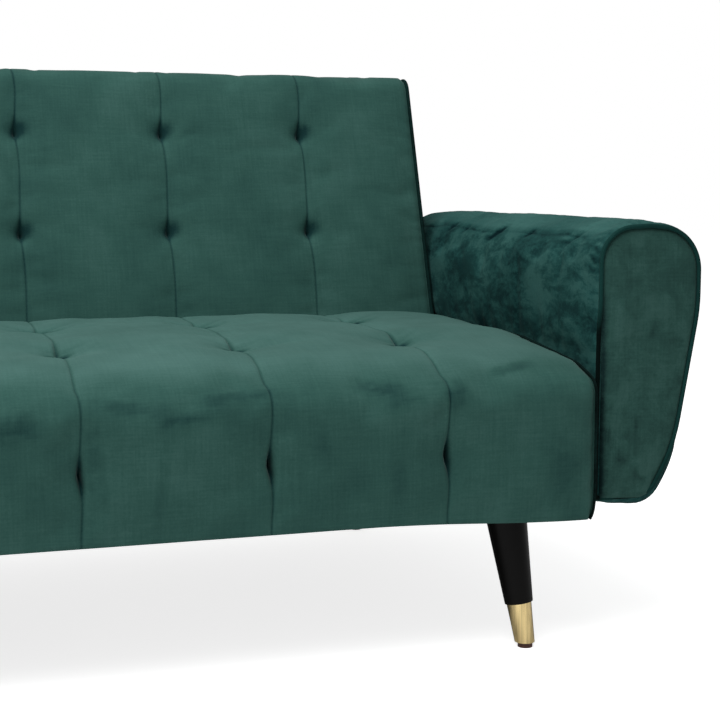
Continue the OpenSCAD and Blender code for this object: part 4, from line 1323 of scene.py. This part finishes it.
class SOFA_OT_arms(bpy.types.Operator):
    """Upholster both arms: padded sleeves with domed panels at their ends"""

    bl_idname = "sofa.arms"
    bl_label = "Arms"

    # Creases over the sleeve's inner top edge: distance from the rear, reach down the side, lean,
    # width and depth of painted shade.
    creases = (
        (0.040, 0.014, 0.5, 0.006, 0.34),
        (0.185, 0.010, -0.8, 0.008, 0.34),
        (0.245, 0.009, -0.6, 0.007, 0.32),
        (0.383, 0.014, -1.25, 0.009, 0.80),
        (0.495, 0.009, -1.0, 0.007, 0.30),
        (0.654, 0.016, -1.2, 0.007, 0.34),
    )
    # Dark strokes on the front panels, painted shade along small wrinkles: x, height, length, width, turn
    # and tone.
    wrinkle_shades = (
        (0.932, 0.285, 0.014, 0.0040, -1.1, -0.24),
        (0.951, 0.254, 0.010, 0.0060, -0.4, -0.26),
        (0.956, 0.286, 0.008, 0.0045, 0.2, -0.24),
        (0.972, 0.299, 0.014, 0.0050, 1.5, -0.20),
        (0.979, 0.227, 0.016, 0.0045, -0.7, -0.20),
        (0.990, 0.420, 0.020, 0.0050, 1.2, -0.14),
        (1.030, 0.350, 0.018, 0.0050, 1.0, -0.16),
    )

    def execute(self, context):
        padding, colours = context.scene.sofa_padding, context.scene.sofa_colours
        for side, word in ((1, "right"), (-1, "left")):
            points = rounded(*arm_corners(side), closed=True)
            seed = 50 + side
            self.sleeve(padding, arm_velvet(colours), side, word, points, seed)
            self.end_panels(padding, colours, word, points, seed)
        return {"FINISHED"}

    def sleeve(self, padding, material, side, word, points, seed):
        """Stretch a sleeve of velvet over the arm's foam, creased along its inner top edge."""
        low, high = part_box("arm_cover_" + word)
        outline = Outline(points)
        thickness, roll_radius = 0.018, 0.030
        outer_bulge, bulge_reach = 0.0125, 0.075
        edge_crease, cross_crease = 0.0018, 0.0026
        gather_pitch, gather_depth, gather_place = 0.013, 0.0009, 0.012
        inner = inset(points, thickness)
        inner_x = np.abs(outline.points[:, 0]).min()
        top_inner = outline.nearest((side * (inner_x + 0.007), high.z - 0.009))
        marks = [0, top_inner, outline.length]
        around = graded(0, outline.length, marks, coarse=0.0052, fine=0.0016, reach=0.022)
        front, rear = low.y, high.y - 0.002
        marks = sorted([front, rear] + [rear - crease[0] for crease in self.creases])
        ends = graded(front, rear, marks, coarse=0.0075, fine=0.0022, reach=0.02)
        inner_low = outline.nearest((side * inner_x, low.z + 0.24))
        down = math.copysign(1, inner_low - top_inner)
        outer_foot = outline.nearest((side * (inner_x + 0.62 * (high.x - low.x)), low.z + 0.02))

        def swell(s, y):
            to_front = y - front
            to_rear = rear - y
            shape = padding.arm_puff + outer_bulge * hump(s - outer_foot, bulge_reach)
            shape = shape * clear(to_front, 0.007)
            turned_in = 1 - np.clip(to_rear / roll_radius, 0, 1)
            roll = roll_radius * (1 - np.sqrt(np.clip(1 - turned_in**2, 0, 1)))
            below = (s - top_inner) * down - 0.003 * ripple(0 * s, y, 0.16, seed + 7)
            lengthwise = smooth_step(to_front / 0.12) * smooth_step(to_rear / 0.05)
            lengthwise = lengthwise * (0.75 + 0.25 * ripple(s, y, 0.10, seed + 8))
            crease = edge_crease * near(np.abs(below), 0.0022) * lengthwise
            # Painted shade along the crease at the inner top edge, and along the cross creases below.
            line = 0.26 * hump(below, 0.0020) * lengthwise
            for from_rear, reach, turn, wide, depth in self.creases:
                ahead = (to_rear - from_rear) - turn * below
                fold = hump(ahead, wide) * np.exp(-(((below - 0.1 * reach) / reach) ** 4))
                crease = crease + cross_crease * fold
                line = line + depth * fold
            rough = uneven(s, y, seed, (0.0005, 0.15), (0.0004, 0.045)) * clear(to_front, 0.02)
            gathers = np.sin(2 * math.pi * s / gather_pitch + 2 * ripple(s, y, 0.05, seed + 3))
            gathers = gathers * smooth_step(ripple(s, 0 * y, 0.09, seed + 4))
            rough = rough + gather_depth * gathers * hump(to_front - gather_place, gather_place)
            # Painted highlight: the top roll of the arm goes over to the lit colour, where the light from
            # above falls.
            painted_top_highlight = smooth_step(-below / 0.016) * smooth_step((0.17 + below) / 0.05)
            nap_and_painted_light = 0.46 + 0.10 * ripple(s * 0.6, y, 0.12, seed + 2) + 0.34 * painted_top_highlight - line
            # Painted light and shade that follow the gathers near the front end.
            nap_and_painted_light = nap_and_painted_light - 0.30 * gathers * hump(to_front - 0.014, 0.014)
            return shape + rough - crease - roll - 0.0015 * near(to_front, 0.004), nap_and_painted_light

        def is_free(section):
            beside = np.abs(section[:, 0]) < inner_x + 0.02
            return ~(beside & (section[:, 1] < low.z + 0.20))

        settle = filled_sleeve(outline, around, ends, swell, is_free, spacing=0.006)
        sleeve = padded_tube(outline, around, inner, ends, swell, settle).build("arm_sleeve_" + word)
        finish_piece(sleeve, "root", material, ["arm_cover_" + word, "arm_foam_" + word])

    def end_panels(self, padding, colours, word, points, seed):
        """Close the sleeve with a domed panel in front and a flatter one behind."""
        _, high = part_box("arm_cover_" + word)
        rim = Outline(points).points
        inner_x = np.abs(rim[:, 0]).min()

        def ruck(x, z):
            return uneven(x, z, seed + 5, (0.0008, 0.09), (0.0004, 0.035))

        def tone(x, z):
            beside = np.abs(x) - inner_x - 0.0105
            # Painted shade: the panel darkens along its inner edge where it stands in the gap beside the
            # seat.
            painted_gap_shade = near(np.maximum(beside, 0), 0.0035) * smooth_step((high.z - 0.06 - z) / 0.06)
            return 0.5 + stroked(np.abs(x), z, self.wrinkle_shades) - 0.42 * painted_gap_shade

        in_from_rim, wider_at_foot, tucked_by_seat = 0.0055, 0.0040, 0.0055
        amount = in_from_rim - wider_at_foot * at_foot(rim) + tucked_by_seat * beside_seat(rim)
        face = inset(points, amount)
        around = graded(0, face.length, [0, face.length], coarse=0.0052, fine=0.0045, reach=0.02)
        low, high_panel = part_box("arm_front_panel_" + word)
        level = low.y + 0.0035
        shell = domed_panel(face, around, level, high_panel.y, padding.panel_puff, ruck, -1, tone)
        panel = shell.build("arm_front_" + word)
        finish_piece(panel, "root", panel_velvet(colours), ["arm_front_panel_" + word])

        face = inset(points, 0.021)
        around = graded(0, face.length, [0, face.length], coarse=0.0060, fine=0.0050, reach=0.02)
        low, high_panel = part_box("arm_rear_panels")
        level = high_panel.y - 0.004
        shell = domed_panel(face, around, level, low.y, puff=0.004, ruck=ruck, facing=1)
        panel = shell.build("arm_rear_" + word)
        finish_piece(panel, "root", arm_velvet(colours), ["arm_rear_panels"])


class SOFA_OT_piping(bpy.types.Operator):
    """Sew piping round the arms' front panels and along the ends of the seat and the back"""

    bl_idname = "sofa.piping"
    bl_label = "Piping"

    def execute(self, context):
        scene = context.scene
        padding = scene.sofa_padding
        material = piping_velvet(scene.sofa_colours)
        for side, word in ((1, "right"), (-1, "left")):
            piece = self.arm_piping(side, padding.piping_size / 2).build("arm_piping_" + word)
            finish_piece(piece, "root", material, ["arm_welts"])

            size, droop = padding.slim_piping, padding.corner_droop
            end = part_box("seat_welts")[1].x + padding.end_swell - size / 2
            outline = seat_outline(scene.sofa_seat)
            # The seat's end cord is coloured almost wholly dark, painted shade in the gap beside the arm.
            cord = self.end_piping(outline, side, end, size / 2, nap_and_painted_light=0.06, lean=0.007, droop=droop)
            piece = cord.build("seat_piping_" + word, place_seat)
            finish_piece(piece, "root", material, ["seat_welts"])

            size = padding.piping_size
            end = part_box("back_welts")[1].x + 0.5 * padding.end_swell - size / 2
            # The back's end cord is coloured dark too, painted shade in the gap beside the arm.
            cord = self.end_piping(back_outline(scene.sofa_back), side, end, size / 2, nap_and_painted_light=0.15)
            piece = cord.build("back_piping_" + word, place_back)
            finish_piece(piece, "back", material, ["back_welts"])
        return {"FINISHED"}

    def arm_piping(self, side, radius):
        """The cord round an arm's front panel, tucked in at its foot and beside the seat."""
        gap, tuck = 0.0002, 0.0045
        outline = inset(rounded(*arm_corners(side), closed=True), radius + gap)
        stations = np.linspace(0, outline.length, ARM_CORD_STATIONS)
        flat, aside = outline.at(stations), outline.outward(stations)
        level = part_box("arm_welts")[0].y + radius
        path = np.column_stack([flat[:, 0], level + tuck * tucked(flat), flat[:, 1]])
        aside = np.column_stack([aside[:, 0], np.zeros(len(flat)), aside[:, 1]])
        # Painted shade: the cord darkens where it runs in the gap beside the seat, and along the foot from
        # start to end under the arm.
        x, start, end = np.abs(flat[:, 0]), 0.940, 0.985
        under_arm = smooth_step((x - start) / 0.010) * smooth_step((end - x) / 0.02)
        shade = 0.5 - 0.47 * beside_seat(flat) - 0.35 * under_arm * at_foot(flat)
        return piping_run(path, aside, radius, True, nap_and_painted_light=shade[:-1, None])

    def end_piping(self, outline, side, end, radius, nap_and_painted_light, lean=0.0, droop=0.0):
        """The cord along an end of the seat or back, whose lower corner can lean in and hang down."""
        stations = np.linspace(0, outline.length, END_CORD_STATIONS)
        gap, corner_height = 0.0004, 0.008
        outward = outline.outward(stations)
        flat = outline.at(stations) - outward * (radius + gap)
        flat[:, 1] = np.maximum(flat[:, 1], 0.0)
        inward = lean * near(flat[:, 1], corner_height)
        in_front = stations < outline.length / 2
        flat[:, 1] -= corner_droop(np.array(end), droop) * near(flat[:, 1], DROOP_REACH) * in_front
        path = np.column_stack([side * (end - inward), flat])
        aside = np.column_stack([np.zeros(len(flat)), outward])
        return piping_run(path, aside, radius, False, nap_and_painted_light=nap_and_painted_light)


class SOFA_OT_rear_cloths(bpy.types.Operator):
    """Close the back's rear with a velvet panel, and the frame's underside with black cloth"""

    bl_idname = "sofa.rear_cloths"
    bl_label = "Rear panel and dust cloth"

    def execute(self, context):
        scene = context.scene
        self.rear_panel(scene.sofa_back, cushion_velvet(scene.sofa_colours))
        self.dust_cloth(scene.sofa_padding.cloth_sag)
        return {"FINISHED"}

    def rear_panel(self, back, material):
        """Stretch velvet over the back's rear, raised above the hinges' slots at its two ends."""
        in_from_end, in_from_foot, in_from_top = 0.0045, 0.004, 0.020
        above_hinge, hem_thick, fill_thick = 0.100, 0.0005, 0.0035
        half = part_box("back_cover")[1].x - in_from_end
        low, high = in_from_foot, back.height - in_from_top
        across = graded(-half, half, [-half, half], coarse=0.020, fine=0.003, reach=0.02)
        along = graded(low, high, [low, high], coarse=0.015, fine=0.003, reach=0.02)
        x, s = across[:, None], along[None, :]
        to_edge = np.minimum(np.minimum(half - np.abs(x), s - low), high - s)
        out = hem_thick + fill_thick * clear(to_edge, 0.008) + 0.0006 * ripple(x, s, 0.25, 71)
        out = np.where(to_edge < 1e-6, 0.0004, out)
        outer, inner = spread(x, s, -out), spread(x, s, 0.0002)
        at_hinge = np.abs(across) >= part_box("back_bottom_rail")[1].x - 0.004
        for block in (outer, inner):
            share = (block[at_hinge, :, 1] - low) * (high - above_hinge) / (high - low)
            block[at_hinge, :, 1] = above_hinge + share
        shell = Shell()
        face = shell.add(outer, np.full(out.shape, 0.45))
        lining = shell.add(inner)
        shell.grid(face)
        shell.grid(lining, flip=True)
        shell.hem(face, lining)
        panel = shell.build("back_rear", place_back)
        finish_piece(panel, "back", material, ["back_rear_panel"])

    def dust_cloth(self, sag):
        """Stretch thin black cloth under the rails, slack between them and tight round each leg's head."""
        low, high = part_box("dust_cover")
        rim, thick, half_head = 0.004, 0.0006, 0.03
        tight_rim, rim_run = 0.03, 0.16
        tight_leg, leg_run = 0.06, 0.12
        width, depth = high.x - low.x - 2 * rim, high.y - low.y - 2 * rim
        front, rear = low.y + rim, high.y - rim
        across = graded(-width / 2, width / 2, [-width / 2, width / 2], coarse=0.016, fine=0.005, reach=0.03)
        along = graded(front, rear, [front, rear], coarse=0.016, fine=0.005, reach=0.03)
        x, y = across[:, None], along[None, :]
        to_rim = np.minimum(width / 2 - np.abs(x), np.minimum(y - along[0], along[-1] - y))
        slack = sag * smooth_step((to_rim - tight_rim) / rim_run)
        slack = slack * (0.8 + 0.2 * ripple(x, y, 0.20, 83))
        for leg in ("leg_front_left", "leg_front_right", "leg_rear_left", "leg_rear_right", "centre_leg"):
            foot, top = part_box(leg)
            leg_x = min(max(0.0, foot.x + half_head), top.x - half_head)
            leg_y = min(max(0.0, foot.y + half_head), top.y - half_head)
            to_leg = np.hypot(x - leg_x, y - leg_y)
            slack = slack * smooth_step((to_leg - tight_leg) / leg_run)
        under = low.z + 0.0002 - slack
        shell = Shell()
        face = shell.add(spread(x, y, under))
        lining = shell.add(spread(x, y, under + thick))
        shell.grid(face, flip=True)
        shell.grid(lining)
        shell.hem(face, lining, flip=True)
        cloth = shell.build("dust_cloth")
        finish_piece(cloth, "root", dust_fabric(), ["dust_cover"])


class SOFA_OT_finishes(bpy.types.Operator):
    """Finish the frame's own pieces: lacquered legs, brass ferrules, timber, steel and cloth"""

    bl_idname = "sofa.finishes"
    bl_label = "Frame finishes"

    def execute(self, context):
        colours = context.scene.sofa_colours
        finishes = {
            "timber": grained("timber", (0.62, 0.46, 0.28), (0.50, 0.34, 0.19), 30.0, 0.65, (0.15, 1, 1)),
            "hardboard": grained("hardboard", (0.40, 0.27, 0.16), (0.34, 0.22, 0.13), 260.0, 0.8, (1, 1, 1)),
            "spring_wire": plain("spring_wire", (0.30, 0.30, 0.31), 0.42, metallic=1.0),
            "zinc_steel": plain("zinc_steel", (0.66, 0.67, 0.69), 0.36, metallic=1.0),
            "felt": grained("felt", (0.44, 0.44, 0.44), (0.34, 0.34, 0.35), 420.0, 0.95, (1, 1, 1)),
            "foam": plain("foam", (0.88, 0.82, 0.60), 0.9),
            "velvet": plain("bare_velvet", colours.velvet, 0.9),
            "piping": plain("bare_piping", colours.piping, 0.9),
            "dust_cloth": dust_fabric(),
            "black_lacquer": plain("black_lacquer", colours.lacquer, 0.34, shine=0.10),
            "brass": brushed_brass(colours),
            "glide_plastic": plain("glide_plastic", colours.glide, 0.45),
            "black_plastic": plain("black_plastic", (0.025, 0.025, 0.025), 0.5),
        }
        slots = {part["node"]: part["material_slot"] for part in frame["record"]["subparts"]}
        for name, node in frame["nodes"].items():
            if slots[name] not in finishes:
                raise RuntimeError("no finish for slot " + slots[name])
            node.data.materials.clear()
            node.data.materials.append(finishes[slots[name]])
        return {"FINISHED"}


class SOFA_OT_stage(bpy.types.Operator):
    """Set up the floor, the light and the camera"""

    bl_idname = "sofa.stage"
    bl_label = "Studio"

    def floor_material(self, colours):
        """A pale floor that the camera sees a little brighter, so that it ends in the white behind."""
        material, shader = new_material("studio_floor")
        tree = material.node_tree
        seen = add_node(tree, "ShaderNodeLightPath").outputs["Is Camera Ray"]
        glow = blended(tree, "RGBA", seen, (0, 0, 0, 1), (0.78, 0.78, 0.78, 1))
        feed(shader, Base_Color=full(colours.floor), Roughness=1.0, Specular_IOR_Level=0.0)
        feed(shader, Emission_Color=glow, Emission_Strength=1.0)
        return material

    def execute(self, context):
        scene = context.scene
        self.lay_floor(scene)
        self.light(scene)
        self.set_camera(scene)
        return {"FINISHED"}

    def lay_floor(self, scene):
        """Lay the studio floor, far enough to pass for endless."""
        mesh = bpy.data.meshes.new("studio_floor")
        reach = 14.0
        corners = [(-reach, -reach, 0), (reach, -reach, 0), (reach, reach, 0), (-reach, reach, 0)]
        mesh.from_pydata(corners, [], [(0, 1, 2, 3)])
        floor = bpy.data.objects.new("studio_floor", mesh)
        scene.collection.objects.link(floor)
        mesh.materials.append(self.floor_material(scene.sofa_colours))

    def light(self, scene):
        """Light the sofa evenly from all round, and from a softbox above its front."""
        stage = scene.sofa_stage
        world = bpy.data.worlds.new("studio")
        scene.world = world
        world.use_nodes = True
        tree = world.node_tree
        path = add_node(tree, "ShaderNodeLightPath").outputs
        seen = joined(tree, "MAXIMUM", path["Is Camera Ray"], path["Is Transmission Ray"])
        strength = ranged(tree, seen, start=stage.ambient, end=1.0)
        feed(tree.nodes["Background"], Color=(1, 1, 1, 1), Strength=strength)

        lamp = bpy.data.lights.new("softbox", "AREA")
        lamp.shape = "SQUARE"
        lamp.size = stage.softbox
        lamp.energy = stage.power
        softbox = bpy.data.objects.new("softbox", lamp)
        above_front, on_seat = Vector((-0.5, -0.9, 3.0)), Vector((0.2, 0.0, 0.3))
        softbox.location = above_front
        aim = on_seat - softbox.location
        softbox.rotation_euler = aim.to_track_quat("-Z", "Y").to_euler()
        scene.collection.objects.link(softbox)

    def set_camera(self, scene):
        """Set up the camera where the panel's values put it."""
        stage = scene.sofa_stage
        lens = bpy.data.cameras.new("camera")
        lens.sensor_width = 36
        lens.lens = stage.lens
        camera = bpy.data.objects.new("camera", lens)
        camera.location = (stage.camera_x, stage.camera_y, stage.camera_z)
        camera.rotation_euler = (math.pi / 2 - stage.pitch, 0, -stage.yaw)
        scene.collection.objects.link(camera)
        scene.camera = camera
        scene.view_settings.view_transform = "Standard"


class SOFA_PT_panel(bpy.types.Panel):
    """Everything that makes up the sofa bed"""

    bl_label = "Sofa bed"
    bl_idname = "SOFA_PT_panel"
    bl_space_type = "VIEW_3D"
    bl_region_type = "UI"
    bl_category = "Sofa bed"

    def draw(self, context):
        for group_name in GROUPS:
            group = getattr(context.scene, group_name)
            box = self.layout.box()
            for name in group.bl_rna.properties.keys():
                if name not in ("rna_type", "name"):
                    box.prop(group, name)
        for operator in OPERATORS:
            self.layout.operator(operator.bl_idname)


OPERATORS = (
    SOFA_OT_seat,
    SOFA_OT_back,
    SOFA_OT_arms,
    SOFA_OT_piping,
    SOFA_OT_rear_cloths,
    SOFA_OT_finishes,
    SOFA_OT_stage,
)
GROUPS = {
    "sofa_padding": SofaPadding,
    "sofa_seat": SofaSeat,
    "sofa_back": SofaBack,
    "sofa_colours": SofaColours,
    "sofa_stage": SofaStage,
}


def register():
    """Adds the sizes, the operators and the panel to Blender."""
    for name, group in GROUPS.items():
        bpy.utils.register_class(group)
        setattr(bpy.types.Scene, name, PointerProperty(type=group))
    for operator in OPERATORS:
        bpy.utils.register_class(operator)
    bpy.utils.register_class(SOFA_PT_panel)


def unregister():
    """Takes them away again."""
    bpy.utils.unregister_class(SOFA_PT_panel)
    for operator in reversed(OPERATORS):
        bpy.utils.unregister_class(operator)
    for name, group in GROUPS.items():
        delattr(bpy.types.Scene, name)
        bpy.utils.unregister_class(group)


def main():
    """Makes every piece in order."""
    register()
    for operator in OPERATORS:
        group, name = operator.bl_idname.split(".")
        getattr(getattr(bpy.ops, group), name)()


if __name__ == "__main__":
    main()
